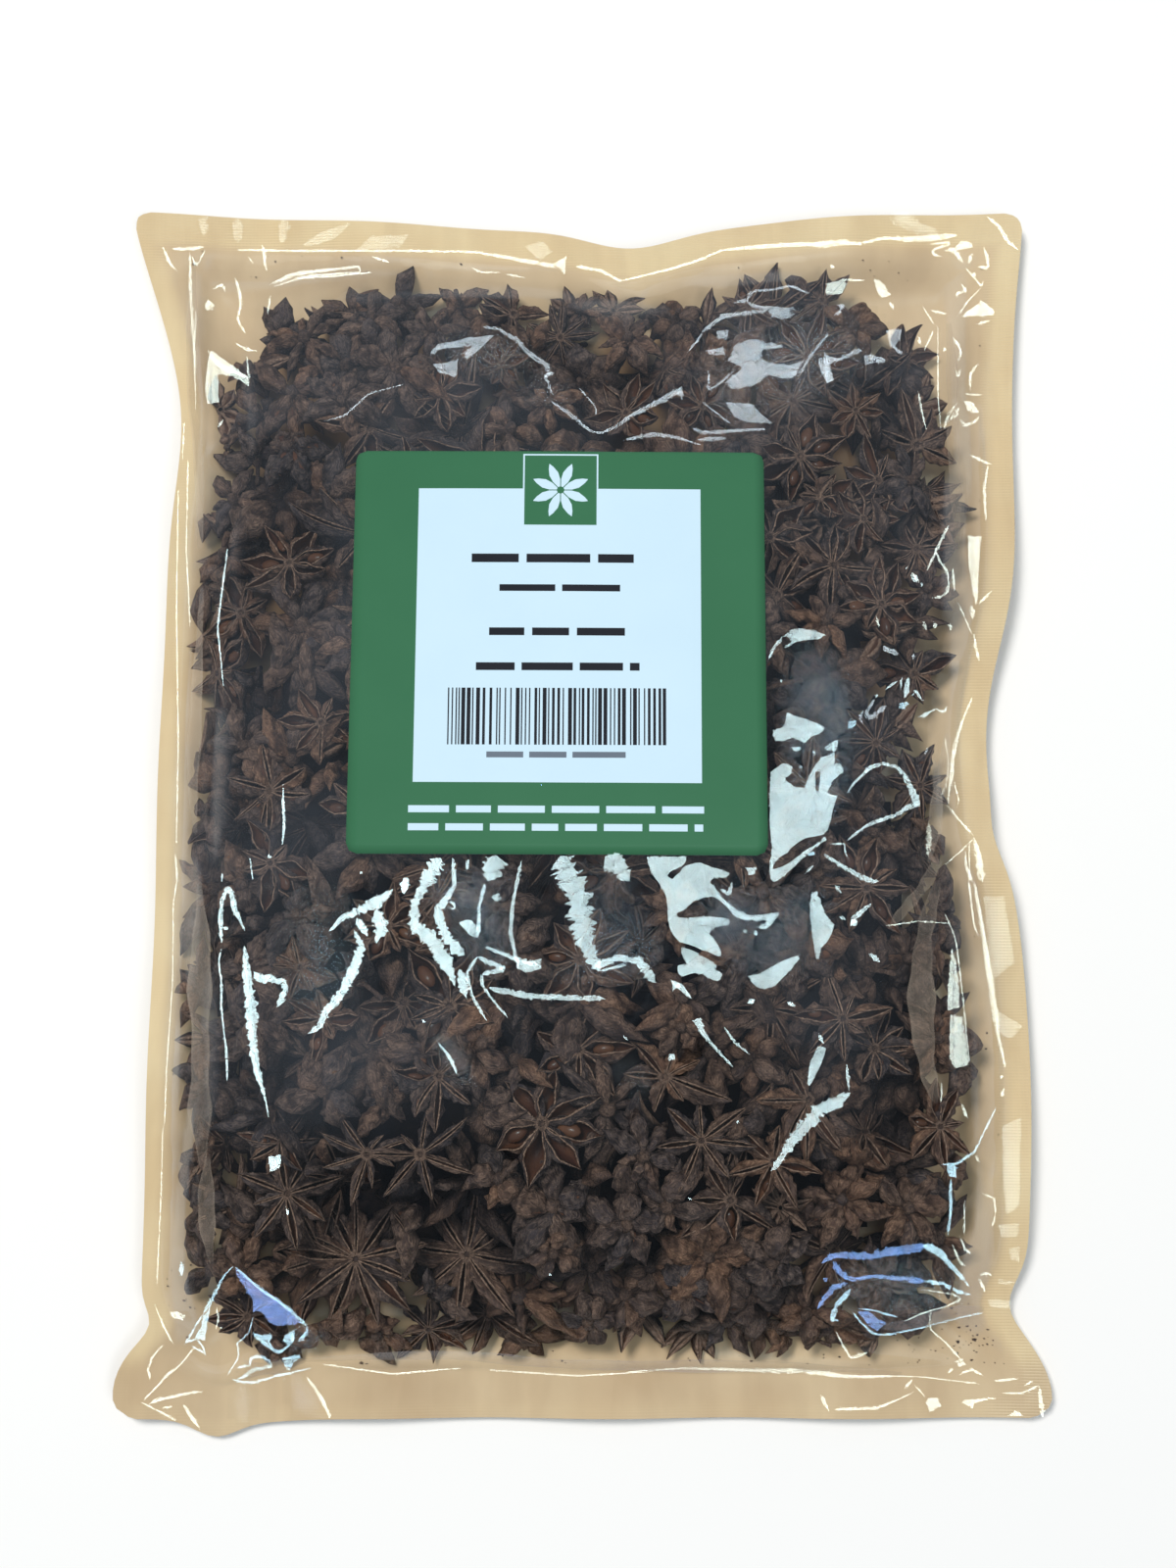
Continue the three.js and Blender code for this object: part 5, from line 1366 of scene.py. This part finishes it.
def build_core():
    """the lower pods, as one uneven heap under those that show, coloured near-black navy as painted shadow"""
    rough = 5.0 * np.abs(value_noise(GX, GY, 10, 91, 2)) - 2.0 + 1.4 * value_noise(GX, GY, 5, 92)
    room = np.minimum(blur(AREA, 2.0) - 13.0 + 2.0 * value_noise(GX, GY, 12, 93), 14.0)
    mid = 9.0
    top = np.minimum(FRONT - 20 + rough, PACKED.ceiling + 1.0)
    top = np.minimum(blur(top, 1.6), mid + 1.2 * np.sqrt(np.clip(room, 0, None)) * 4)
    low = BACK + 0.6
    keep = (room > 0) & (top > mid + 0.4)
    step = 3
    ys, xs = np.arange(0, len(RY) - step, step), np.arange(0, len(RX) - step, step)
    kept = keep[np.ix_(ys, xs)]
    # only the field of cells joined to the middle one is kept
    seen = np.zeros_like(kept)
    j0, i0 = len(ys) // 2, len(xs) // 2
    stack = [(j0, i0)]
    seen[j0, i0] = True
    while stack:
        j, i = stack.pop()
        for b, a in ((j + 1, i), (j - 1, i), (j, i + 1), (j, i - 1)):
            if 0 <= b < len(ys) and 0 <= a < len(xs) and kept[b, a] and not seen[b, a]:
                seen[b, a] = True
                stack.append((b, a))
    jj, ii = np.nonzero(seen)
    index, V, F = {}, [], []

    def corner(j, i, side):
        key = (j, i, side)
        if key not in index:
            inner = all(0 <= b < len(ys) and 0 <= a < len(xs) and seen[b, a] for b, a in ((j, i), (j - 1, i), (j, i - 1), (j - 1, i - 1)))
            r, c = min(j * step, len(RY) - 1), min(i * step, len(RX) - 1)
            if not inner:
                side = 0
                key = (j, i, 0)
                if key in index:
                    return index[key]
            z = mid if side == 0 else top[r, c] if side > 0 else mid - (mid - low[r, c]) * min(1.0, 0.35 * max(room[r, c], 0) ** 0.5 + 0.2)
            index[key] = len(V)
            V.append((RX[c], RY[r], max(z, mid + 0.05) if side > 0 else min(z, mid)))
        return index[key]
    for j, i in zip(jj, ii):
        F.append([corner(j, i, 1), corner(j, i + 1, 1), corner(j + 1, i + 1, 1), corner(j + 1, i, 1)])
        F.append([corner(j, i, -1), corner(j + 1, i, -1), corner(j + 1, i + 1, -1), corner(j, i + 1, -1)])
    ob = make_mesh("pods_core", np.array(V), np.array(F), [HEAP_SHADOW])
    return ob


def fold_material():
    """film doubled over on itself: milkier than one layer"""
    s = Shader("folded_film")
    edge, haze, tone, _ = s.data("film")
    clear = s.node("BsdfTransparent", Color=(0.96, 0.955, 0.94, 1))
    lit = s.node("BsdfDiffuse")
    s.join(s.mix(tone, srgb(216, 196, 174), srgb(206, 200, 204)), lit.inputs["Color"])
    gloss = s.node("BsdfGlossy", Color=(0.97, 1.0, 1.0, 1), Roughness=0.12)
    a = s.t.nodes.new("ShaderNodeMixShader")
    streak = s.ramp(s.noise(70, 3, 0.55, 0.6), [(0.32, 0.35), (0.66, 1.0)])
    s.join(s.math("ADD", s.math("MULTIPLY", streak, s.math("MULTIPLY", haze, 0.20)), s.math("MULTIPLY", s.math("MULTIPLY", edge, streak), 0.16)), a.inputs[0])
    s.join(clear.outputs[0], a.inputs[1])
    s.join(lit.outputs[0], a.inputs[2])
    b = s.t.nodes.new("ShaderNodeMixShader")
    b.inputs[0].default_value = 0.04
    s.join(a.outputs[0], b.inputs[1])
    s.join(gloss.outputs[0], b.inputs[2])
    s.join(b.outputs[0], s.out.inputs[0])
    return s.m


def glint_material():
    """the film's own surface where a crease turns it towards the panel"""
    s = Shader("creased_film")
    a = s.t.nodes.new("ShaderNodeAttribute")
    a.attribute_name = "film"
    clear = s.node("BsdfTransparent", Color=(0.985, 0.985, 0.985, 1))
    gloss = s.node("BsdfGlossy", Roughness=0.05)
    # painted reflection colour: the gloss takes each glint's tint from the vertex data
    s.join(a.outputs["Color"], gloss.inputs["Color"])
    s.join(s.bump(s.noise(330, 3, 0.6, 0.5), 0.10, 0.0006), gloss.inputs["Normal"])
    patchy = s.ramp(s.noise(210, 3, 0.6, 0.6), [(0.28, 0.66), (0.56, 1.0)])
    cloudy = s.ramp(s.noise(55, 2, 0.5, 0.8), [(0.30, 0.15), (0.70, 1.0)])
    veil = s.math("LESS_THAN", a.outputs["Alpha"], 0.155)
    s.join(s.mix(veil, patchy, cloudy), (mask := s.t.nodes.new("ShaderNodeSeparateColor")).inputs[0])
    b = s.t.nodes.new("ShaderNodeMixShader")
    s.join(s.math("MULTIPLY", s.math("MULTIPLY", a.outputs["Alpha"], mask.outputs[0]), 0.052), b.inputs[0])
    s.join(clear.outputs[0], b.inputs[1])
    s.join(gloss.outputs[0], b.inputs[2])
    s.join(b.outputs[0], s.out.inputs[0])
    return s.m


def rays(u, v):
    u, v = np.asarray(u, float)[..., None], np.asarray(v, float)[..., None]
    return FWD * FOCAL + RIGHT * (u - 600.0) - UP * (v - 800.0)


def on_film(u, v, lift=0.0):
    """where the rays through these pixels meet the front film"""
    d = rays(u, v)
    z = np.full(np.shape(u), 20.0)
    for k in range(8):
        p = EYE + ((z - EYE[2]) / d[..., 2])[..., None] * d
        z = 0.35 * z + 0.65 * (look_up(FRONT, p[..., 0], p[..., 1]) + lift)
    return p


def on_facet(u, v, c):
    """where these rays meet the plane through c that mirrors the panel's middle"""
    a, b = EYE - c, LAMP - c
    h = a / np.linalg.norm(a) + b / np.linalg.norm(b)
    d = rays(u, v)
    t = ((c - EYE) @ h) / (d @ h)
    return EYE + t[..., None] * d


def cut(corners, size):
    """a triangle in pixels, cut along a square lattice: {cell: [outlines]}"""
    out = {}
    lo, hi = np.floor(np.min(corners, 0) / size).astype(int), np.floor(np.max(corners, 0) / size).astype(int)
    for i in range(lo[0], hi[0] + 1):
        for j in range(lo[1], hi[1] + 1):
            poly = [tuple(c) for c in corners]
            for axis, sign, limit in ((0, 1, i * size), (0, -1, (i + 1) * size), (1, 1, j * size), (1, -1, (j + 1) * size)):
                kept = []
                for a, b in zip(poly, poly[1:] + poly[:1]):
                    da, db = sign * (a[axis] - limit), sign * (b[axis] - limit)
                    if da >= 0:
                        kept.append(a)
                    if da * db < 0:
                        k = da / (da - db)
                        kept.append((a[0] + k * (b[0] - a[0]), a[1] + k * (b[1] - a[1])))
                poly = kept
                if len(poly) < 3:
                    break
            if len(poly) >= 3:
                out.setdefault((i, j), []).append(poly)
    return out


def build_glints():
    """creases as little flat facets of film, each leaning so that it mirrors the panel"""
    rng = np.random.default_rng(90)
    V, F, A = [], [], []
    count = 0

    def add(P, faces, tint, strength):
        nonlocal count
        V.append(P)
        A.append(np.tile(np.array(tint + (strength,)), (len(P), 1)))
        F.extend([tuple(count + i for i in f) for f in faces])
        count += len(P)
    for tint, full, runs, patches in GLINTS:
        # the white glints are brightest towards the left
        dimmed = lambda pts: full * (1 - (0.28 * float(smooth((np.mean([q[0] for q in pts]) - 420) / 120)) if tint == WHITE_GLINT else 0))
        for pts in runs:
            strength = dimmed(pts)
            p = np.array(pts, float)
            s = np.concatenate([[0], np.cumsum(np.hypot(*np.diff(p[:, :2], axis=0).T))])
            n = max(3, int(s[-1] / 1.7))
            t = np.linspace(0, s[-1], n + 1)
            # rounded bends
            k = max(1, int(3.5 / (s[-1] / n)))
            win = np.hanning(2 * k + 3)[1:-1]
            win /= win.sum()
            ease = lambda q: np.convolve(np.pad(q, k, mode="reflect", reflect_type="odd"), win, "valid") if n > k else q
            u, v, w = ease(np.interp(t, s, p[:, 0])), ease(np.interp(t, s, p[:, 1])), np.interp(t, s, p[:, 2])
            ends = np.minimum(1, np.minimum(t, s[-1] - t) / min(6.0, 0.4 * s[-1]) + 0.12)
            du, dv = np.gradient(u), np.gradient(v)
            m = np.hypot(du, dv) + 1e-9
            nu_, nv_ = -dv / m, du / m
            wl = w * ends * (0.5 + 0.22 * rng.uniform(-1, 1, n + 1))
            wr = w * ends * (0.5 + 0.22 * rng.uniform(-1, 1, n + 1))
            wl, wr = np.maximum(wl, 0.3), np.maximum(wr, 0.3)
            mid = on_film(u, v, 0.12)
            step = max(2, int(14 / (s[-1] / n)))
            for a in range(0, n, step):
                b = min(a + step, n)
                i = np.arange(a, b + 1)
                c = mid[(a + b) // 2]
                L = on_facet(u[i] + nu_[i] * wl[i], v[i] + nv_[i] * wl[i], c)
                R = on_facet(u[i] - nu_[i] * wr[i], v[i] - nv_[i] * wr[i], c)
                P = np.empty((2 * len(i), 3))
                P[0::2], P[1::2] = L, R
                add(P, [(2 * q, 2 * q + 2, 2 * q + 1) for q in range(len(i) - 1)] + [(2 * q + 1, 2 * q + 2, 2 * q + 3) for q in range(len(i) - 1)], tint, strength)
        for pts in patches:
            strength = dimmed(pts)
            loops = []
            box = [min(q[0] for q in pts), max(q[0] for q in pts), min(q[1] for q in pts), max(q[1] for q in pts)]
            for loop in [pts] + [h for h in GLINT_HOLES if box[0] < h[0][0] < box[1] and box[2] < h[0][1] < box[3]]:
                out = []
                for (u0, v0), (u1, v1) in zip(loop, loop[1:] + loop[:1]):
                    length = math.hypot(u1 - u0, v1 - v0)
                    m = max(1, int(length / 2.0))
                    for q in range(m):
                        j = 0.45 if 0 < q else 0.15
                        out.append((u0 + (u1 - u0) * q / m + rng.normal(0, j), v0 + (v1 - v0) * q / m + rng.normal(0, j)))
                loops.append(out)
            flat = [q for loop in loops for q in loop]
            tri = tessellate_polygon([[Vector((q[0], q[1], 0)) for q in loop] for loop in loops])
            c = on_film(np.array([np.mean([q[0] for q in pts])]), np.array([np.mean([q[1] for q in pts])]), 0.12)[0]
            flat = np.array(flat)
            P = on_facet(flat[:, 0], flat[:, 1], c)
            if np.abs(P[:, 2] - look_up(FRONT, P[:, 0], P[:, 1])).max() < 1.3:
                add(P, [tuple(f) for f in tri], tint, strength)
                continue
            # steep film: one small facet for each square of it
            size = 9.0
            for f in tri:
                for (i, j), outlines in cut(flat[list(f)], size).items():
                    c = on_film(np.array([(i + 0.5) * size]), np.array([(j + 0.5) * size]), 0.5)[0]
                    for poly in outlines:
                        q = np.array(poly)
                        add(on_facet(q[:, 0], q[:, 1], c), [(0, k, k + 1) for k in range(1, len(q) - 1)], tint, strength)
    for tint, strength, pts in VEILS:
        p = np.array(pts, float)
        # twice as many corners, rounded
        for k in range(2):
            p = np.stack([0.75 * p + 0.25 * np.roll(p, -1, 0), 0.25 * p + 0.75 * np.roll(p, -1, 0)], 1).reshape(-1, 2)
        size = 8.0
        lo, hi = np.floor(p.min(0) / size).astype(int), np.ceil(p.max(0) / size).astype(int)
        gu, gv = np.meshgrid(np.arange(lo[0], hi[0] + 1) * size, np.arange(lo[1], hi[1] + 1) * size)
        q = np.stack([gu, gv], -1)[..., None, :]
        a, e = p, np.roll(p, -1, 0) - p
        k = np.clip(((q - a) * e).sum(-1) / (e * e).sum(-1), 0, 1)
        far = np.linalg.norm(q - a - k[..., None] * e, axis=-1).min(-1)
        b = a + e
        over = (a[:, 1] > q[..., 1]) != (b[:, 1] > q[..., 1])
        crossing = over & (q[..., 0] < a[:, 0] + (q[..., 1] - a[:, 1]) * e[:, 0] / np.where(np.abs(e[:, 1]) < 1e-9, 1e-9, e[:, 1]))
        depth = np.where(crossing.sum(-1) % 2 == 1, far, 0.0)
        fade = strength * smooth(depth / max(6.0, 0.75 * depth.max()))
        for j in range(fade.shape[0] - 1):
            for i in range(fade.shape[1] - 1):
                corners = [(j, i), (j, i + 1), (j + 1, i + 1), (j + 1, i)]
                if max(fade[c] for c in corners) < 0.004:
                    continue
                c = on_film(np.array([gu[j, i] + size / 2]), np.array([gv[j, i] + size / 2]), 0.5)[0]
                add(on_facet(np.array([gu[c_] for c_ in corners]), np.array([gv[c_] for c_ in corners]), c), [(0, 1, 2), (0, 2, 3)], tint, strength)
                A[-1][:, 3] = [fade[c_] for c_ in corners]
    V, A, F = np.concatenate(V), np.concatenate(A), np.array(F)
    # none hangs over the pouch's outline
    m = V[F].mean(1)
    F = F[(m[:, 0] > edge_left(m[:, 1]) + 0.6) & (m[:, 0] < edge_right(m[:, 1]) - 0.6) & (m[:, 1] > edge_bottom(m[:, 0]) + 0.6) & (m[:, 1] < edge_top(m[:, 0]) - 0.6)]
    # every facet faces up
    n = np.cross(V[F[:, 1]] - V[F[:, 0]], V[F[:, 2]] - V[F[:, 0]])
    F[n[:, 2] < 0] = F[n[:, 2] < 0][:, ::-1]
    F = F[np.linalg.norm(n, axis=1) > 1e-7]
    ob = make_mesh("film_creases", V, F, [glint_material()], A, "film", flat=True)
    print("crease triangles", len(F))
    return ob


# slack film that lies folded over, as runs of (pixel, pixel, width)
FOLDED = [
    (0, [(957, 900, 6), (948, 930, 14), (942, 960, 20), (940, 1000, 24), (941, 1050, 24), (946, 1090, 20), (952, 1115, 10), (956, 1126, 3)]),
    (0, [(958, 876, 8), (946, 900, 12), (930, 920, 12), (916, 936, 8), (907, 947, 3)]),
    (0, [(953, 776, 3), (957, 800, 10), (955, 830, 14), (952, 858, 10), (948, 880, 3)]),
    (0, [(206, 600, 3), (203, 660, 9), (199, 740, 12), (196, 800, 12), (199, 850, 5)]),
    (0, [(203, 900, 5), (206, 950, 16), (203, 1010, 22), (205, 1070, 20), (203, 1130, 22), (207, 1190, 6)]),
    (0, [(212, 1180, 6), (210, 1220, 16), (212, 1265, 14), (216, 1290, 4)]),
    (0, [(966, 748, 3), (964, 775, 10), (962, 800, 14), (958, 818, 6)]),
    (0, [(968, 330, 4), (972, 380, 12), (972, 440, 14), (975, 500, 10), (978, 560, 4)]),
    (1, [(893, 1354, 4), (920, 1353, 10), (950, 1346, 14), (985, 1337, 10), (1004, 1335, 5)]),
    (1, [(310, 1388, 3), (380, 1384, 9), (470, 1382, 8), (560, 1392, 10), (660, 1394, 12), (760, 1394, 11), (850, 1396, 8), (920, 1402, 4)]),
    (1, [(250, 1398, 20), (280, 1396, 14), (310, 1388, 4)]),
    (0, [(198, 270, 4), (196, 340, 12), (200, 420, 14), (204, 500, 10), (204, 560, 4)]),
]


def build_folds():
    bits = Bits()
    across = 5
    for k, (cool, pts) in enumerate(FOLDED):
        p = np.array(pts, float)
        t = np.linspace(0, len(p) - 1, 8 * (len(p) - 1) + 1)
        u, v, w = (np.interp(t, np.arange(len(p)), p[:, c]) for c in range(3))
        win = np.hanning(13)[1:-1] / np.hanning(13)[1:-1].sum()
        u = np.convolve(np.pad(u, 5, mode="reflect", reflect_type="odd"), win, "valid")
        v = np.convolve(np.pad(v, 5, mode="reflect", reflect_type="odd"), win, "valid")
        w = w * (1 + 0.16 * np.sin(t * 2.3 + k) + 0.10 * np.sin(t * 6.1 + 2 * k))
        du, dv = np.gradient(u), np.gradient(v)
        m = np.hypot(du, dv) + 1e-9
        q = np.linspace(-0.5, 0.5, across + 1)
        uu = u[:, None] - (dv / m * w)[:, None] * q
        vv = v[:, None] + (du / m * w)[:, None] * q
        P = on_film(uu, vv, 0.9)
        V = P.reshape(-1, 3)
        A = np.zeros((len(V), 4))
        A[:, 0] = np.tile((np.abs(q) > 0.49).astype(float), len(t)) * 0.7
        A[:, 1] = np.repeat(np.sin(np.pi * np.linspace(0, 1, len(t))) ** 0.5, across + 1)
        A[:, 2] = cool
        A[:, 3] = 1
        bits.add(V, grid_faces(across, len(t) - 1), A)
    V, F, A = bits.arrays()
    ob = make_mesh("film_folds", V, F, [fold_material()], A, "film")
    return ob


def build_crumbs():
    """broken bits and dust of pods that lie in the empty film beside the filling"""
    rng = np.random.default_rng(71)
    bits = Bits()
    spots = [(992, 1364, 22, 16, 56), (935, 1376, 10, 8, 12), (1010, 420, 9, 120, 46), (1012, 900, 9, 160, 34), (330, 262, 120, 12, 26), (180, 1330, 18, 40, 22),
             (700, 1396, 300, 8, 60), (170, 700, 8, 260, 26), (900, 262, 90, 16, 24)]
    for u0, v0, su, sv, n in spots:
        for k in range(n):
            u, v = u0 + rng.normal(0, su), v0 + rng.normal(0, sv)
            x, y = to_plan(u, v, 6.0)[:2]
            q = np.array([x]), np.array([y])
            d = float(np.minimum.reduce(inset(*q))[0])
            if d < 0.6:
                continue
            r = float(np.clip(rng.lognormal(-1.5, 0.42), 0.12, 0.8))
            P = rng.normal(size=(6, 3)) * 0.25 + np.array([[1, 0, 0], [0, 1, 0], [-1, 0, 0], [0, -1, 0], [0, 0, 0.7], [0, 0, -0.7]])
            P = P @ rot_z(rng.uniform(0, 6.28)).T * np.array([r, r * rng.uniform(0.4, 1), r * 0.6])
            z = float(look_up(BACK, *q)[0]) + 0.25 + r * 0.3
            if z + r * 0.5 > float(look_up(FRONT, *q)[0]):
                continue
            A = np.zeros((6, 7))
            A[:, 2], A[:, 3], A[:, 4:] = rng.uniform(0, 1), 0.55, P + rng.uniform(-40, 40, 3)
            F = np.array([[0, 1, 4], [1, 2, 4], [2, 3, 4], [3, 0, 4], [1, 0, 5], [2, 1, 5], [3, 2, 5], [0, 3, 5]])
            bits.add(P + np.array([x, y, z]), F, A)
    V, F, A = bits.arrays()
    ob = make_mesh("crumbs", V, F, [HUSK], A, "pod", flat=True)
    print("crumbs", len(F) // 8)
    return ob


# ======================================================================== label
def build_label():
    """one sheet cut along the edges of its printed fields; every field is faces of its own"""
    # fields as (left, right, bottom, top, ink), in millimetres from the label's middle, later ones on top
    px, py = 0.2363, 0.2404
    fields = []
    cell = lambda u0, u1, v1, v0, ink: fields.append(((u0 - 569) * px, (u1 - 569) * px, (665 - v1) * py, (665 - v0) * py, ink))
    cell(423, 715, 801, 497, 1)                                    # white panel
    cell(531, 609, 537, 460, 0)                                    # tab over the panel's top edge
    for a in ((531, 609, 461.6, 460), (531, 609, 537, 535.4), (531, 532.6, 537, 460), (607.4, 609, 537, 460)):
        cell(*a, 1)                                                # its outline
    rng = np.random.default_rng(8)

    def line(u0, u1, v0, v1, ink, word=(22, 60), gap=7):
        """a line of type shown as plain bars, one for each word"""
        u = u0
        while u < u1 - 6:
            n = min(rng.uniform(*word), u1 - u)
            if u1 - (u + n) < 14:
                n = u1 - u
            cell(u, u + n, v1, v0, ink)
            u += n + gap
    line(479, 646, 566, 575, 3, (40, 66), 8)
    line(508, 632, 598, 605, 3, (40, 62), 7)
    line(498, 637, 643, 651, 3, (22, 58), 8)
    line(485, 652, 679, 687, 3, (36, 70), 7)
    line(497, 638, 770, 776, 4, (30, 70), 6)
    line(419, 717, 824.5, 831.5, 1, (26, 62), 7)
    line(419, 716, 842.5, 849.5, 1, (26, 58), 7)
    u = 457.0
    while u < 678:                                                 # a generic row of bars
        n = rng.choice([1.4, 1.4, 2.8, 4.0])
        cell(u, min(u + n, 679), 763, 705, 3)
        u += n + rng.choice([1.5, 2.6, 4.2])
    half_w, half_h, r = LABEL_W / 2, LABEL_H / 2, LABEL_R
    xs = [-half_w, -half_w + r, half_w - r, half_w] + [v for f in fields for v in f[:2]]
    ys = [-half_h, -half_h + r, half_h - r, half_h] + [v for f in fields for v in f[2:4]]

    def lines(values, step):
        v = np.unique(np.round(values, 3))
        keep = [v[0]]
        for t in v[1:]:
            if t - keep[-1] < 0.02:
                continue
            n = int(math.ceil((t - keep[-1]) / step))
            keep += [keep[-1] + (t - keep[-1]) * (k + 1) / n for k in range(n)]
        return np.array(keep)
    xs, ys = lines(xs, 3.0), lines(ys, 3.0)
    X, Y = np.meshgrid(xs, ys)
    F = grid_faces(len(xs) - 1, len(ys) - 1)
    cx = X.ravel()[F].mean(1)
    cy = Y.ravel()[F].mean(1)
    mat = np.zeros(len(F), int)
    for x0, x1, y0, y1, ink in fields:
        mat[(cx > x0) & (cx < x1) & (cy > y0) & (cy < y1)] = ink
    # round the sheet's corners
    qx, qy = np.abs(X) - (half_w - r), np.abs(Y) - (half_h - r)
    m = (qx > 0) & (qy > 0)
    k = np.where(m, np.maximum(qx, qy) / (np.hypot(qx, qy) + 1e-9), 1)
    X = np.where(m, np.sign(X) * (half_w - r + qx * k), X)
    Y = np.where(m, np.sign(Y) * (half_h - r + qy * k), Y)

    def lay(lx, ly, lift):
        x = LABEL_X + lx * math.cos(LABEL_TURN) - ly * math.sin(LABEL_TURN)
        y = LABEL_Y + lx * math.sin(LABEL_TURN) + ly * math.cos(LABEL_TURN)
        return np.stack([x, y, look_up(FRONT, x, y) + lift], -1).reshape(-1, 3)
    V = lay(X, Y, 0.22)
    # a thin edge all round gives the paper its thickness
    nu, nv = len(xs) - 1, len(ys) - 1
    ring = np.concatenate([np.arange(nu), nu + np.arange(nv) * (nu + 1), (nv * (nu + 1) + np.arange(nu, 0, -1)), np.arange(nv, 0, -1) * (nu + 1)])
    low = V[ring] - np.array([0, 0, 0.16])
    n0 = len(V)
    k = np.arange(len(ring))
    F = np.concatenate([F, np.stack([ring, np.roll(ring, -1)[k], n0 + (k + 1) % len(ring), n0 + k], 1)[:, ::-1]])
    V = np.concatenate([V, low])
    mat = np.concatenate([mat, np.full(len(ring), 1)])
    GREY = paper_material("label_grey_ink", srgb(96, 106, 120), srgb(116, 126, 138), 0.6)
    sheet = make_mesh("label_sheet", V, F, [GREEN, WHITE, GREEN, INK, GREY], face_mat=mat)
    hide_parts("label")
    # a plain eight-petalled star stands where the tab's print was
    cu, cv = (570 - 569) * px, (665 - 498.5) * py
    V, F = [], []
    for k in range(8):
        a = math.pi / 8 + k * math.pi / 4
        pts = []
        for t, w in ((0.9, 0.25), (2.6, 0.95), (4.4, 1.15), (6.1, 0.65), (7.2, 0.06)):
            pts.append((t, w))
        base = len(V)
        for t, w in pts:
            for sgn in (-1, 1):
                V.append((cu + t * math.cos(a) - sgn * w * math.sin(a), cv + t * math.sin(a) + sgn * w * math.cos(a)))
        for j in range(4):
            F.append((base + 2 * j, base + 2 * j + 2, base + 2 * j + 3, base + 2 * j + 1))
    V = np.array(V)
    star = make_mesh("label_star", lay(V[:, 0], V[:, 1], 0.25), np.array(F), [WHITE])
    return sheet, star


# ================================================================== put together
front, back = build_films()
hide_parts("bag")
pods = build_pods()
core = build_core()
crumbs = build_crumbs()
folds = build_folds()
creases = build_glints()
label = build_label()


# ======================================================================== studio
def build_stage():
    me = bpy.data.meshes.new("floor")
    me.from_pydata([(-3, -3, 0), (3, -3, 0), (3, 3, 0), (-3, 3, 0)], [], [(0, 1, 2, 3)])
    ob = bpy.data.objects.new("floor", me)
    SC.collection.objects.link(ob)
    s = Shader("floor")
    b = s.node("BsdfPrincipled", Base_Color=(0.93, 0.925, 0.915, 1), Roughness=0.8)
    b.inputs["Specular IOR Level"].default_value = 0.1
    s.join(b.outputs[0], s.out.inputs[0])
    me.materials.append(s.m)


def lamp(name, at, aim, size, power, color, mirrored=True):
    d = bpy.data.lights.new(name, "AREA")
    d.shape = "RECTANGLE"
    d.size, d.size_y = size
    d.energy = power
    d.color = color
    o = bpy.data.objects.new(name, d)
    SC.collection.objects.link(o)
    o.location = at
    o.rotation_euler = (Vector(at) - Vector(aim)).to_track_quat("Z", "Y").to_euler()
    o.visible_glossy = mirrored
    return o


build_stage()
LP = LAMP * MM + np.array([OX, OY, 0]) * MM
# the panel is what the film mirrors; the two soft boxes only light the pouch
panel = lamp("panel", tuple(LP), (LP[0], LP[1], 0.0), (2 * LAMP_HALF[0] * MM, 2 * LAMP_HALF[1] * MM), 2.4, (0.80, 0.97, 1.0))
key = lamp("key", (-0.60, 0.62, 1.9), (0, 0, 0), (0.55, 0.55), 31.0, (1.0, 0.965, 0.92), mirrored=False)
fill = lamp("fill", (0.75, -0.75, 1.9), (0, 0, 0), (0.8, 0.8), 8.0, (1.0, 0.975, 0.945), mirrored=False)
w = bpy.data.worlds.new("world")
w.use_nodes = True
w.node_tree.nodes["Background"].inputs[0].default_value = (0.78, 0.87, 1.0, 1)
w.node_tree.nodes["Background"].inputs[1].default_value = 0.25
SC.world = w
SC.view_settings.view_transform = "Standard"

cam = bpy.data.cameras.new("camera")
cam.sensor_fit = "HORIZONTAL"
cam.sensor_width = 36.0
cam.lens = 36.0 * FOCAL / 1200.0
camera = bpy.data.objects.new("camera", cam)
SC.collection.objects.link(camera)
shift = np.array([OX, OY, 0])
camera.location = tuple((EYE + shift) * MM)
look = Vector(tuple((TARGET - EYE)))
camera.rotation_euler = look.to_track_quat("-Z", "Y").to_euler()
SC.camera = camera
